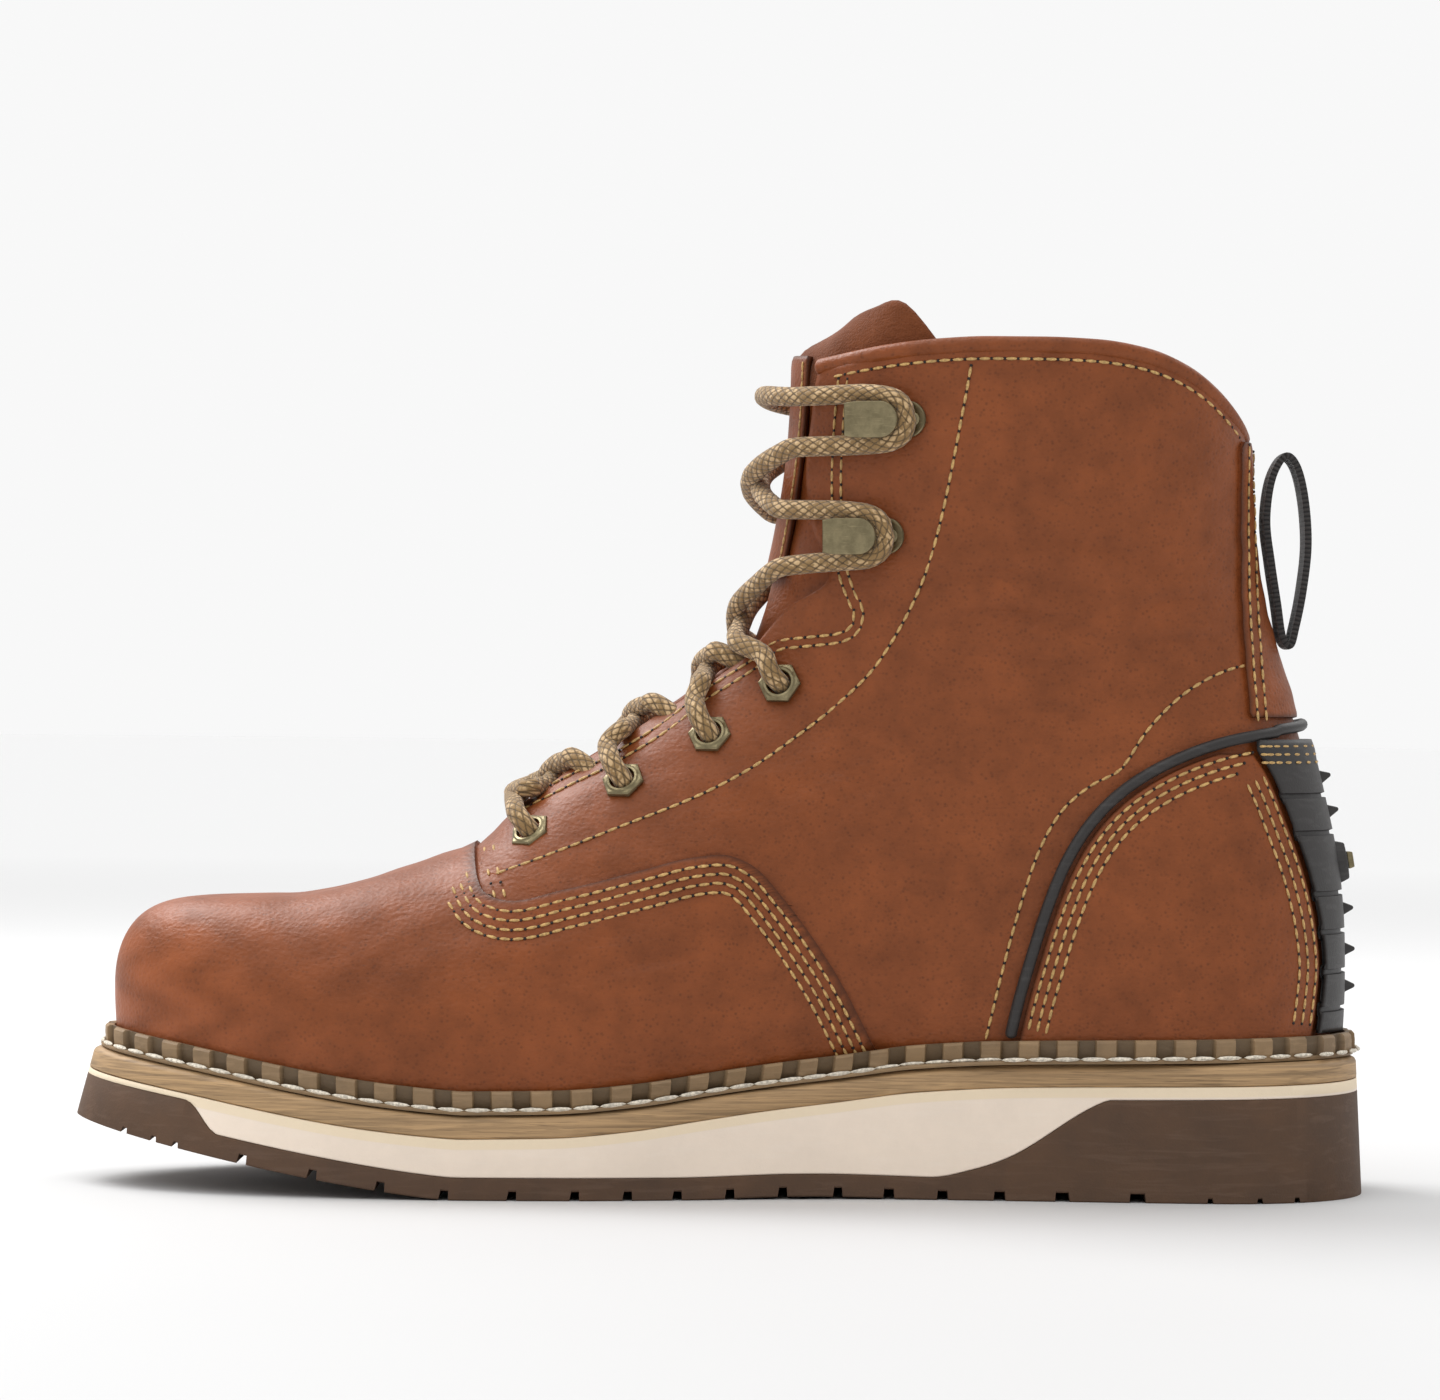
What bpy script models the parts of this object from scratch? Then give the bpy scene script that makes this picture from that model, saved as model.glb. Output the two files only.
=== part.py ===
"""Wedge sole work boot for the right foot, empty and standing on its sole.

The toe points along -X, +Z is up, and the inner side of the foot faces -Y. The origin is on the
floor, under the middle of the boot's box. Every surface of the upper comes from one function, the
last, and the overlays, eyelets and laces are placed on it by their place in the side view.
"""

import math

import bmesh
import bpy
import numpy as np
from mathutils import Matrix, Vector
from mathutils.bvhtree import BVHTree

MM = 0.001

# Sole, welt and insole
SOLE_LENGTH = 310 * MM
SOLE_WIDTH = 108 * MM
BALL_STACK = 21 * MM
HEEL_STACK = 34 * MM
TOE_SPRING = 16 * MM
TREAD = 5.3 * MM
SLAB = 6.5 * MM
SLAB_BEVEL = 2.2 * MM
CREAM_AT_HEEL = 3 * MM
CREAM_AT_TOE = 1.3 * MM
WAIST_LIFT = 0.7 * MM
TOE_LEAN = 4.6 * MM
HEEL_LEAN = 1.8 * MM
SIDE_LEAN = 1.2 * MM
GROOVE_WIDTH = 2 * MM
GROOVE_DEPTH = 1.7 * MM
WELT_HEIGHT = 4.6 * MM
WELT_RIB = 1 * MM
WELT_FLANGE = 4.2 * MM
WELT_FLANGE_THICKNESS = 0.9 * MM
BLOCK_PITCH = 8.9 * MM
BLOCK_WIDTH = 4.9 * MM
BLOCK_DEPTH = 1.5 * MM
INSOLE_THICKNESS = 4 * MM

# Upper
TOE_SET = 11.2 * MM
HEEL_SET = 10 * MM
FEATHER_LEDGE = 7.2 * MM
TOE_HEIGHT = 67.5 * MM
INSTEP_HEIGHT = 130 * MM
COLLAR_HEIGHT = 200 * MM
COLLAR_WIDTH = 80 * MM
COLLAR_BACK_DROP = 20 * MM
COLLAR_FRONT_DROP = 5 * MM
WALL = 2.2 * MM
OVERLAY = 1.4 * MM
POCKET = 1.6 * MM
WIDEST_AT = 15 * MM
BINDING_RADIUS = 1.6 * MM

# Fittings
TONGUE_PAD = 4.5 * MM
TONGUE_EDGE = 1.6 * MM
TONGUE_RISE = 14 * MM
TONGUE_SINK = 1.8 * MM
PATCH_THICKNESS = 1.6 * MM
GUARD_THICKNESS = 2.6 * MM
GUARD_RIB_GAP = 1 * MM
STUD_HEIGHT = 2.6 * MM
STUD_WIDTH = 6 * MM
PIPING_RADIUS = 1.4 * MM
LOOP_WIDTH = 12 * MM
LOOP_THICKNESS = 1.8 * MM
EYELET_RADIUS = 5.3 * MM
EYELET_HOLE = 2.9 * MM
EYELET_THICKNESS = 1.1 * MM
HOOK_LENGTH = 14 * MM
HOOK_WIDTH = 8.6 * MM
HOOK_PLATE = 1 * MM
HOOK_GAP = 5.6 * MM
LACE_DIAMETER = 5 * MM
GAP = 0.3 * MM
SLIVER = 0.02 * MM

STATIONS_ALONG_SOLE = 30
COLUMNS_PER_SIDE = 15
THROAT_COLUMN = 2


class Table:
    """Rows with named columns, read as a smooth curve along the first column without overshoot."""

    def __init__(self, names, *rows):
        self.columns = dict(zip(names.split(), np.array(rows, float).T))
        self.at = self.columns[names.split()[0]]

    def read(self, name, where):
        x, y = self.at, self.columns[name]
        step = np.diff(x)
        rise = np.diff(y) / step
        slope = np.concatenate([[rise[0]], np.zeros(len(x) - 2), [rise[-1]]])
        same = rise[:-1] * rise[1:] > 0
        mean = 2 * rise[:-1] * rise[1:] / np.where(same, rise[:-1] + rise[1:], 1)
        slope[1:-1] = np.where(same, mean, 0)
        where = np.clip(where, x[0], x[-1])
        i = np.clip(np.searchsorted(x, where, side="right") - 1, 0, len(x) - 2)
        t = (where - x[i]) / step[i]
        return (
            y[i] * (1 + 2 * t) * (1 - t) ** 2
            + slope[i] * step[i] * t * (1 - t) ** 2
            + y[i + 1] * t**2 * (3 - 2 * t)
            + slope[i + 1] * step[i] * t**2 * (t - 1)
        )


# Shares of the sole's length from the toe, and of its width across the ball, to each side
OUTLINE = Table(
    "along inner outer",
    (0.00, 0.468, 0.530),
    (0.30, 0.468, 0.526),
    (0.38, 0.456, 0.535),
    (0.46, 0.418, 0.525),
    (0.55, 0.362, 0.492),
    (0.64, 0.336, 0.445),
    (0.74, 0.348, 0.397),
    (0.86, 0.366, 0.368),
    (1.00, 0.366, 0.366),
)
TOE_ROUND, TOE_POWER = 0.29, 1.95
HEEL_ROUND, HEEL_POWER = 0.125, 2.1

# Share of the way from the ball's thickness to the heel's
SOLE_RISE = Table(
    "along rise",
    (0.000, -0.26),
    (0.100, -0.14),
    (0.200, -0.11),
    (0.300, -0.03),
    (0.370, 0.00),
    (0.430, 0.12),
    (0.484, 0.31),
    (0.535, 0.48),
    (0.587, 0.63),
    (0.650, 0.82),
    (0.730, 0.93),
    (0.855, 0.98),
    (1.000, 1.03),
)
# How far the brown rubber rises towards the slab, at the toe and in the heel wedge
TREAD_RISE = Table(
    "along toe heel",
    (0.000, 1.00, 0.00),
    (0.087, 1.00, 0.00),
    (0.118, 0.00, 0.00),
    (0.660, 0.00, 0.00),
    (0.692, 0.00, 0.11),
    (0.718, 0.00, 0.26),
    (0.788, 0.00, 0.95),
    (0.797, 0.00, 1.00),
    (1.000, 0.00, 1.00),
)
GROOVES = (0.14, 0.194, 0.245, 0.294, 0.345, 0.392, 0.431, 0.469, 0.508, 0.548, 0.59, 0.629, 0.67, 0.713, 0.76, 0.817)

# The last's ridge: shares of the upper's length from its toe, and of the rise from toe to instep
RIDGE = Table(
    "along rise",
    (0.00, 0.000),
    (0.13, 0.000),
    (0.166, 0.018),
    (0.198, 0.058),
    (0.231, 0.108),
    (0.265, 0.163),
    (0.290, 0.205),
    (0.314, 0.310),
    (0.340, 0.420),
    (0.363, 0.510),
    (0.396, 0.620),
    (0.437, 0.755),
    (0.478, 0.890),
    (0.512, 1.000),
    (0.560, 1.060),
    (1.000, 1.060),
)
# How the foot's section changes along the upper: roundness of the roof, and how far its wall
# stands out over the feather line on the inner and the outer side
FOOT = Table(
    "along roof inner outer",
    (0.00, 5.0, 0.035, 0.035),
    (0.15, 4.0, 0.040, 0.035),
    (0.27, 2.7, 0.050, 0.030),
    (0.40, 2.2, 0.110, 0.030),
    (0.52, 2.1, 0.180, 0.040),
    (0.62, 2.1, 0.150, 0.060),
    (0.78, 2.2, 0.060, 0.050),
    (1.00, 2.2, 0.040, 0.040),
)
# The shaft's level sections: shares of the collar's height, of the sole's length from its middle,
# and of the collar's width to each side
SHAFT = Table(
    "up front back side",
    (0.170, 0.100, 0.4640, 0.390),
    (0.246, 0.070, 0.4680, 0.410),
    (0.305, 0.050, 0.4682, 0.418),
    (0.370, 0.040, 0.4655, 0.418),
    (0.414, 0.035, 0.4605, 0.414),
    (0.463, 0.030, 0.4530, 0.408),
    (0.512, 0.025, 0.4460, 0.404),
    (0.557, 0.020, 0.4395, 0.404),
    (0.606, 0.016, 0.4325, 0.410),
    (0.650, 0.015, 0.4260, 0.420),
    (0.720, 0.020, 0.4155, 0.440),
    (0.790, 0.029, 0.4090, 0.460),
    (0.857, 0.036, 0.4062, 0.478),
    (0.936, 0.040, 0.4048, 0.495),
    (1.100, 0.042, 0.4040, 0.510),
)
# Rings of the upper from the feather line to the collar. The front end is a share of the sole's
# length from its middle and of the rise from the sole to the toe's top, to the instep or to the
# collar, and the back end is a share of the rise from the heel seat to the back of the collar.
TOE_RINGS = (
    (-0.4640, 0.00, 0.000),
    (-0.4645, 0.27, 0.035),
    (-0.4620, 0.55, 0.075),
    (-0.4540, 0.80, 0.120),
    (-0.4360, 0.94, 0.170),
    (-0.4050, 1.00, 0.220),
    (-0.3550, 1.02, 0.270),
    (-0.3000, 1.06, 0.320),
    (-0.2450, 1.18, 0.365),
    (-0.1900, 1.32, 0.410),
)
THROAT_RINGS = (
    (-0.1450, 0.42, 0.445),
    (-0.1000, 0.58, 0.480),
    (-0.0550, 0.76, 0.520),
    (-0.0100, 0.92, 0.560),
)
SHAFT_RINGS = (
    (0.000, 0.05, 0.600),
    (0.016, 0.13, 0.645),
    (0.023, 0.24, 0.695),
    (0.029, 0.40, 0.755),
    (0.035, 0.60, 0.835),
    (0.040, 0.80, 0.915),
    (0.042, 1.00, 1.000),
)
# Half the throat's gap in shares of the collar's width, ring by ring from its base to the collar
THROAT_GAP = (0.13, 0.15, 0.165, 0.18, 0.20, 0.25, 0.33, 0.29, 0.26, 0.275, 0.29)

# Side view outlines on the upper: shares of the sole's length from its middle and of the collar's height
VAMP_EDGE = (
    (-0.190, 0.425),
    (-0.187, 0.385),
    (-0.178, 0.352),
    (-0.160, 0.344),
    (-0.120, 0.358),
    (-0.060, 0.383),
    (-0.020, 0.399),
    (0.000, 0.402),
    (0.020, 0.392),
    (0.046, 0.352),
    (0.085, 0.268),
    (0.120, 0.170),
)
PIPING_PATH = (
    (0.2185, 0.180),
    (0.2245, 0.225),
    (0.2340, 0.280),
    (0.2460, 0.340),
    (0.2600, 0.395),
    (0.2800, 0.445),
    (0.3080, 0.487),
    (0.3470, 0.521),
    (0.3850, 0.541),
    (0.4200, 0.551),
)
POCKET_BACK = (
    (0.4020, 0.528),
    (0.4130, 0.503),
    (0.4300, 0.440),
    (0.4440, 0.380),
    (0.4530, 0.320),
    (0.4560, 0.275),
    (0.4540, 0.235),
    (0.4480, 0.170),
)
BACKSTAY_EDGE = ((0.402, 0.570), (0.3985, 0.640), (0.3955, 0.720), (0.3945, 0.820), (0.3950, 0.900))
RIBS = (0.475, 0.431, 0.360, 0.315, 0.268, 0.224)
STUD_LEVELS = (0.496, 0.455, 0.340, 0.292, 0.248)
BOSS_LEVEL = 0.395
EYELETS = ((-0.1470, 0.428), (-0.0755, 0.487), (-0.0100, 0.543), (0.0440, 0.603))
HOOKS = ((0.1090, 0.780), (0.1240, 0.917))

UPPER_TOE = -SOLE_LENGTH / 2 + TOE_SET
UPPER_HEEL = SOLE_LENGTH / 2 - HEEL_SET


def half_width(along, side, ledge=0.0):
    """Half the outline's width at a share of its length, with a ledge taken off all round."""
    body = SOLE_WIDTH * OUTLINE.read(side, along) - ledge
    toe = np.clip((TOE_ROUND - along) / TOE_ROUND, 0, 1)
    heel = np.clip((along - 1 + HEEL_ROUND) / HEEL_ROUND, 0, 1)
    return body * (1 - toe**TOE_POWER) ** (1 / TOE_POWER) * (1 - heel**HEEL_POWER) ** (1 / HEEL_POWER)


def sole_bottom(along):
    lifted = np.clip((0.30 - along) / 0.30, 0, 1)
    waist = np.clip((along - 0.46) / 0.22, 0, 1)
    return TOE_SPRING * lifted**1.25 + WAIST_LIFT * np.sin(math.pi * waist) ** 2


def sole_top(along):
    rise = SOLE_RISE.read("rise", along)
    return TOE_SPRING * np.clip((0.30 - along) / 0.30, 0, 1) ** 1.25 + BALL_STACK + (HEEL_STACK - BALL_STACK) * rise


def tread_top(along):
    """Top of the brown rubber: thin under the ball and waist, thick at the toe and in the heel wedge."""
    toe, heel = TREAD_RISE.read("toe", along), TREAD_RISE.read("heel", along)
    thin = sole_bottom(along) + TREAD
    under_slab = sole_top(along) - SLAB
    thin = thin + (under_slab - CREAM_AT_TOE - thin) * toe
    return thin + (under_slab - CREAM_AT_HEEL - thin) * heel


def sole_point(along, side, up, z, ledge=0.0):
    """A point of the sole's side. up is the share of its height, by which the side leans in."""
    x = -SOLE_LENGTH / 2 + TOE_LEAN * up + along * (SOLE_LENGTH - (TOE_LEAN + HEEL_LEAN) * up)
    y = np.maximum(half_width(along, side, ledge) - SIDE_LEAN * up * np.sin(math.pi * np.clip(along, 0, 1)), 0)
    return np.stack([x, -y if side == "inner" else y, np.broadcast_to(z, np.shape(x))], axis=-1)


LEVEL_SHARES = (0, 0.65, 1, 2)


def level(share):
    """Height of a share of the boot's rise: 0.65 of it is the instep and all of it is the collar."""
    return np.interp(share, LEVEL_SHARES, (0, INSTEP_HEIGHT, COLLAR_HEIGHT, 2 * COLLAR_HEIGHT))


def feather_height(x):
    """Height of the sole's top, where the upper stands, at a place along the boot."""
    return sole_top((x + SOLE_LENGTH / 2 - TOE_LEAN) / (SOLE_LENGTH - TOE_LEAN - HEEL_LEAN))


def ridge_height(x):
    along = (x - UPPER_TOE) / (UPPER_HEEL - UPPER_TOE)
    return TOE_HEIGHT + (INSTEP_HEIGHT - TOE_HEIGHT) * RIDGE.read("rise", along)


def foot_value(p):
    """The foot part of the last: negative inside, about 1 per metre over its size outside."""
    x, y, z = p[..., 0], p[..., 1], p[..., 2]
    along = (x - UPPER_TOE) / (UPPER_HEEL - UPPER_TOE)
    inner = y < 0
    held = np.clip(along, 0, 1)
    body = SOLE_WIDTH * np.where(inner, OUTLINE.read("inner", held), OUTLINE.read("outer", held)) - FEATHER_LEDGE
    belly = np.where(inner, FOOT.read("inner", held), FOOT.read("outer", held))
    low = feather_height(x)
    wide = low + WIDEST_AT
    down = np.clip((wide - z) / WIDEST_AT, 0, 2)
    swell = (1 + belly) * (1 - belly / (1 + belly) * down**2)
    toe = np.maximum((TOE_ROUND - along) / TOE_ROUND, 0)
    heel = np.maximum((along - 1 + HEEL_ROUND) / HEEL_ROUND, 0)
    across = np.abs(y) / (body * swell)
    toe = toe / (1 + 0.012 * (1 - down**2))
    plan = (across**TOE_POWER + toe**TOE_POWER + heel**TOE_POWER) ** (1 / TOE_POWER)
    front = np.clip(toe / np.maximum(plan, 1e-6), 0, 1) ** 3
    roof = FOOT.read("roof", held) * (1 - front) + 13 * front
    up = np.maximum((z - wide) / (ridge_height(x) - wide), 0)
    return (np.maximum(plan, 1e-9) ** roof + up**2) ** (1 / roof) - 1


def shaft_value(p):
    x, y, z = p[..., 0], p[..., 1], p[..., 2]
    up = np.interp(z, level(LEVEL_SHARES), LEVEL_SHARES)
    front = SOLE_LENGTH * SHAFT.read("front", up)
    back = SOLE_LENGTH * SHAFT.read("back", up)
    side = COLLAR_WIDTH * SHAFT.read("side", up)
    middle, reach = (front + back) / 2, (back - front) / 2
    power = 2.15
    return ((np.abs(x - middle) / reach) ** power + (np.abs(y) / side) ** power) ** (1 / power) - 1


def gradient(value, p, step=0.02 * MM):
    shifts = np.concatenate([np.eye(3), -np.eye(3)]) * step
    around = value(p + shifts.reshape(6, *[1] * (p.ndim - 1), 3))
    return np.moveaxis(around[:3] - around[3:], 0, -1) / (2 * step)


def distance(value, p):
    return value(p) / np.maximum(np.linalg.norm(gradient(value, p), axis=-1), 1e-6)


def last_distance(p):
    """Distance to the last, the foot and shaft run into each other by a soft hollow."""
    foot, shaft = distance(foot_value, p), distance(shaft_value, p)
    blend = 16 * MM
    near = np.maximum(blend - np.abs(foot - shaft), 0) / blend
    return np.minimum(foot, shaft) - near**3 * blend / 6


def last_normal(p):
    slope = gradient(last_distance, p, 0.3 * MM)
    return slope / np.linalg.norm(slope, axis=-1, keepdims=True)


def settle(p, free=(1, 1, 1), steps=25):
    """Moves points onto the last, along the axes that are free."""
    free = np.array(free, float)
    for _ in range(steps):
        slope = gradient(last_distance, p, 0.3 * MM) * free
        size = np.maximum((slope**2).sum(axis=-1, keepdims=True), 0.05)
        move = last_distance(p)[..., None] * slope / size
        p = p - np.clip(move, -6 * MM, 6 * MM) * 0.8
    return p


def on_upper(x, z, side, offset=0.0):
    """The point of the upper's outer face seen at x, z from the inner (-1) or outer (1) side."""
    x, z = np.broadcast_arrays(np.asarray(x, float), np.asarray(z, float))
    low, high = np.zeros(x.shape), np.full(x.shape, 0.07)
    for _ in range(22):
        middle = (low + high) / 2
        outside = last_distance(np.stack([x, side * middle, z], axis=-1)) > 0
        low, high = np.where(outside, low, middle), np.where(outside, middle, high)
    p = np.stack([x, side * (low + high) / 2, z], axis=-1)
    return p + last_normal(p) * offset


def seen(outline, count=None):
    """A side view outline in metres, or count points evenly along a smooth curve through it."""
    points = np.array(outline, float)
    points = np.column_stack([points[:, 0] * SOLE_LENGTH, level(points[:, 1])])
    if count is None:
        return points
    lengths = np.concatenate([[0], np.cumsum(np.linalg.norm(np.diff(points, axis=0), axis=1))])
    even = np.linspace(0, lengths[-1], count)
    smooth = Table("at x z", *np.column_stack([lengths, points]))
    return np.column_stack([smooth.read("x", even), smooth.read("z", even)])


def beside(path, by):
    """A side view path drawn aside, to its right on the way up."""
    way = np.gradient(path, axis=0)
    way /= np.linalg.norm(way, axis=1, keepdims=True)
    return path + by * np.column_stack([way[:, 1], -way[:, 0]])


def collar_line(x):
    """Height of the collar's edge: low over the throat, domed at the side and low at the back."""
    front, back = SOLE_LENGTH * 0.065, SOLE_LENGTH * 0.404
    share = np.clip((x - front) / (back - front), 0, 1)
    rise = 1 - np.clip((0.42 - share) / 0.42, 0, 1) ** 2
    fall = np.clip((share - 0.42) / 0.58, 0, 1) ** 4
    return COLLAR_HEIGHT - COLLAR_FRONT_DROP * (1 - rise) - COLLAR_BACK_DROP * fall


def ring_ends():
    """The front x, front z and back z of each ring of the upper."""
    seat = feather_height(SOLE_LENGTH * 0.45)
    back_rise = COLLAR_HEIGHT - COLLAR_BACK_DROP - seat
    rows = []
    toe_low = feather_height(UPPER_TOE)
    for x, up, back in TOE_RINGS:
        rows.append((x * SOLE_LENGTH, toe_low + (TOE_HEIGHT - toe_low) * up, seat + back_rise * back))
    for x, up, back in THROAT_RINGS:
        rows.append((x * SOLE_LENGTH, TOE_HEIGHT + (INSTEP_HEIGHT - TOE_HEIGHT) * up, seat + back_rise * back))
    for x, up, back in SHAFT_RINGS:
        rows.append((x * SOLE_LENGTH, INSTEP_HEIGHT + (COLLAR_HEIGHT - INSTEP_HEIGHT) * up, seat + back_rise * back))
    return rows


def upper_grid():
    """Points of the last, ring by ring and column by column, and the mask of cells that are leather.

    Column 0 is the front, columns rise along the inner side to the back and return on the outer side.
    """
    half = COLUMNS_PER_SIDE
    ends = ring_ends()
    base = len(TOE_RINGS)
    grid = np.zeros((len(ends), 2 * half, 3))
    for k, (front_x, front_z, back_z) in enumerate(ends):
        back_x = UPPER_HEEL
        for column in range(2 * half):
            step = min(column, 2 * half - column)
            side = -1 if column <= half else 1
            angle = math.pi * step / half
            gap = None
            if k >= base:
                gap = THROAT_GAP[k - base] * COLLAR_WIDTH
                start = math.asin(min(gap / (0.42 * COLLAR_WIDTH), 1))
                share = max(step - THROAT_COLUMN, 0) / (half - THROAT_COLUMN)
                angle = start + (math.pi - start) * share if step >= THROAT_COLUMN else start * step / THROAT_COLUMN
            share = (1 - math.cos(angle)) / 2
            wide = 0.5 * SOLE_WIDTH - FEATHER_LEDGE if k < base else 0.42 * COLLAR_WIDTH
            dome = 0.065 * COLLAR_HEIGHT * max(0, (k - base) / (len(ends) - 1 - base)) ** 2
            z = front_z + (back_z - front_z) * share + dome * math.sin(math.pi * share)
            grid[k, column] = (front_x + (back_x - front_x) * share, side * wide * math.sin(angle), z)
    middle = grid[:, (0, half), :]
    middle = settle(middle, free=(1, 0, 1))
    grid[1:-1] = settle(grid[1:-1])
    grid[:, (0, half), :] = middle
    for k in range(base, len(ends)):
        for column in (THROAT_COLUMN, 2 * half - THROAT_COLUMN):
            edge = grid[k, column].copy()
            edge[1] = math.copysign(THROAT_GAP[k - base] * COLLAR_WIDTH, edge[1])
            grid[k, column] = settle(edge, free=(1, 0, 1), steps=40)
    for k, line in ((0, feather_height), (len(ends) - 1, collar_line)):
        ring = grid[k]
        for _ in range(8):
            ring[:, 2] = line(ring[:, 0]) + (GAP if k == 0 else 0)
            ring = settle(ring, free=(1, 1, 0), steps=8)
        grid[k] = ring
    leather = np.ones((len(ends) - 1, 2 * half), bool)
    leather[base:, :THROAT_COLUMN] = False
    leather[base:, 2 * half - THROAT_COLUMN :] = False
    return grid, leather


def parts_collection():
    found = bpy.data.collections.get("Wedge sole work boot")
    if found is None:
        found = bpy.data.collections.new("Wedge sole work boot")
        bpy.context.scene.collection.children.link(found)
    return found


def add_object(name, mesh, material):
    obj = bpy.data.objects.new(name, mesh)
    parts_collection().objects.link(obj)
    if material is not None:
        mesh.materials.append(material)
    return obj


def finish_material(name, colour, roughness, metallic=0.0):
    material = bpy.data.materials.new(name)
    material.use_nodes = True
    shader = material.node_tree.nodes["Principled BSDF"]
    shader.inputs["Base Color"].default_value = (*colour, 1)
    shader.inputs["Roughness"].default_value = roughness
    shader.inputs["Metallic"].default_value = metallic
    return material


def mesh_of(name, points, faces, smooth=None):
    """A closed mesh in triangles, which cut cleanly where a wall is curved both ways."""
    mesh = bpy.data.meshes.new(name)
    work = bmesh.new()
    corners = [work.verts.new(point) for point in points]
    for face in faces:
        if len(set(face)) > 2:
            work.faces.new([corners[i] for i in face])
    loose = [corner for corner in corners if not corner.link_faces]
    bmesh.ops.delete(work, geom=loose, context="VERTS")
    bmesh.ops.remove_doubles(work, verts=work.verts, dist=0.002 * MM)
    bmesh.ops.dissolve_degenerate(work, edges=work.edges, dist=0.002 * MM)
    bmesh.ops.triangulate(work, faces=work.faces)
    bmesh.ops.recalc_face_normals(work, faces=work.faces)
    if work.calc_volume(signed=True) < 0:
        bmesh.ops.reverse_faces(work, faces=work.faces)
    work.to_mesh(mesh)
    work.free()
    if smooth is not None:
        mesh.shade_smooth()
        mesh.set_sharp_from_angle(angle=math.radians(smooth))
    return mesh


def sheet_mesh(name, outer, inner, cells, around=False, smooth=35):
    """A closed wall between two grids of points, over the cells that are set. around joins the ends."""
    rows, columns = outer.shape[:2]
    points = np.concatenate([outer.reshape(-1, 3), inner.reshape(-1, 3)])
    back = rows * columns

    def at(row, column):
        return row * columns + column % columns

    def is_set(row, column):
        if not 0 <= row < cells.shape[0]:
            return False
        if around:
            return cells[row, column % cells.shape[1]]
        return 0 <= column < cells.shape[1] and cells[row, column]

    faces = []
    for row in range(cells.shape[0]):
        for column in range(cells.shape[1]):
            if not cells[row, column]:
                continue
            quad = (at(row, column), at(row, column + 1), at(row + 1, column + 1), at(row + 1, column))
            faces.append(quad)
            faces.append(tuple(i + back for i in reversed(quad)))
            beside = ((row - 1, column), (row, column + 1), (row + 1, column), (row, column - 1))
            for edge, (r, c) in enumerate(beside):
                if not is_set(r, c):
                    a, b = quad[edge], quad[(edge + 1) % 4]
                    faces.append((b, a, a + back, b + back))
    return mesh_of(name, points, faces, smooth)


def ladder_mesh(name, sections, smooth=35):
    """A solid lofted through closed sections with the same number of corners, capped at both ends."""
    count, corners = sections.shape[:2]
    faces = [tuple(range(corners)), tuple((count - 1) * corners + i for i in reversed(range(corners)))]
    for s in range(count - 1):
        for i in range(corners):
            j = (i + 1) % corners
            faces.append((s * corners + i, s * corners + j, (s + 1) * corners + j, (s + 1) * corners + i))
    return mesh_of(name, sections.reshape(-1, 3), faces, smooth)


def ring_mesh(name, sections, smooth=35):
    """A solid lofted through closed sections that come round to the first again."""
    count, corners = sections.shape[:2]
    faces = []
    for s in range(count):
        t = (s + 1) % count
        for i in range(corners):
            j = (i + 1) % corners
            faces.append((s * corners + i, s * corners + j, t * corners + j, t * corners + i))
    return mesh_of(name, sections.reshape(-1, 3), faces, smooth)


def sole_stations(*extra):
    """Shares of the length, close together round the toe and the heel, with the named breaks added."""
    even = (1 - np.cos(np.linspace(0, math.pi, STATIONS_ALONG_SOLE))) / 2
    even[0], even[-1] = 0.0004, 0.9996
    kept = [a for a in even if all(abs(a - e) > 0.006 for e in extra)]
    return np.array(sorted([*kept, *extra]))


def layer_sections(stations, low, high, low_up, high_up):
    corners = [
        sole_point(stations, "inner", low_up, low),
        sole_point(stations, "outer", low_up, low),
        sole_point(stations, "outer", high_up, high),
        sole_point(stations, "inner", high_up, high),
    ]
    return np.stack(corners, axis=1)


def level_share(stations, z):
    return (z - sole_bottom(stations)) / (sole_top(stations) - sole_bottom(stations))


def make_outsole(material):
    """Brown rubber: tread, toe piece and heel wedge in one, with grooves across its bottom."""
    half = GROOVE_WIDTH / 2 / SOLE_LENGTH
    slant = 0.3 * half
    breaks = [b for g in GROOVES for b in (g - half, g - half + slant, g + half - slant, g + half)]
    breaks += [a for a in TREAD_RISE.at[1:-1] if all(abs(a - b) > 0.002 for b in breaks)]
    stations = sole_stations(*breaks)
    grooved = np.zeros(len(stations))
    for g in GROOVES:
        grooved[np.abs(stations - g) < half - 0.5 * slant] = GROOVE_DEPTH
    bottom, top = sole_bottom(stations), tread_top(stations)
    sections = layer_sections(stations, bottom + grooved, top, 0.0, level_share(stations, top))
    return add_object("outsole", ladder_mesh("outsole", sections), material)


def make_cream_midsole(material):
    stations = sole_stations(*TREAD_RISE.at[1:-1])
    low = tread_top(stations) + GAP
    high = sole_top(stations) - SLAB
    sections = layer_sections(stations, low, high, level_share(stations, low), level_share(stations, high))
    return add_object("cream_midsole", ladder_mesh("cream_midsole", sections), material)


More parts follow.
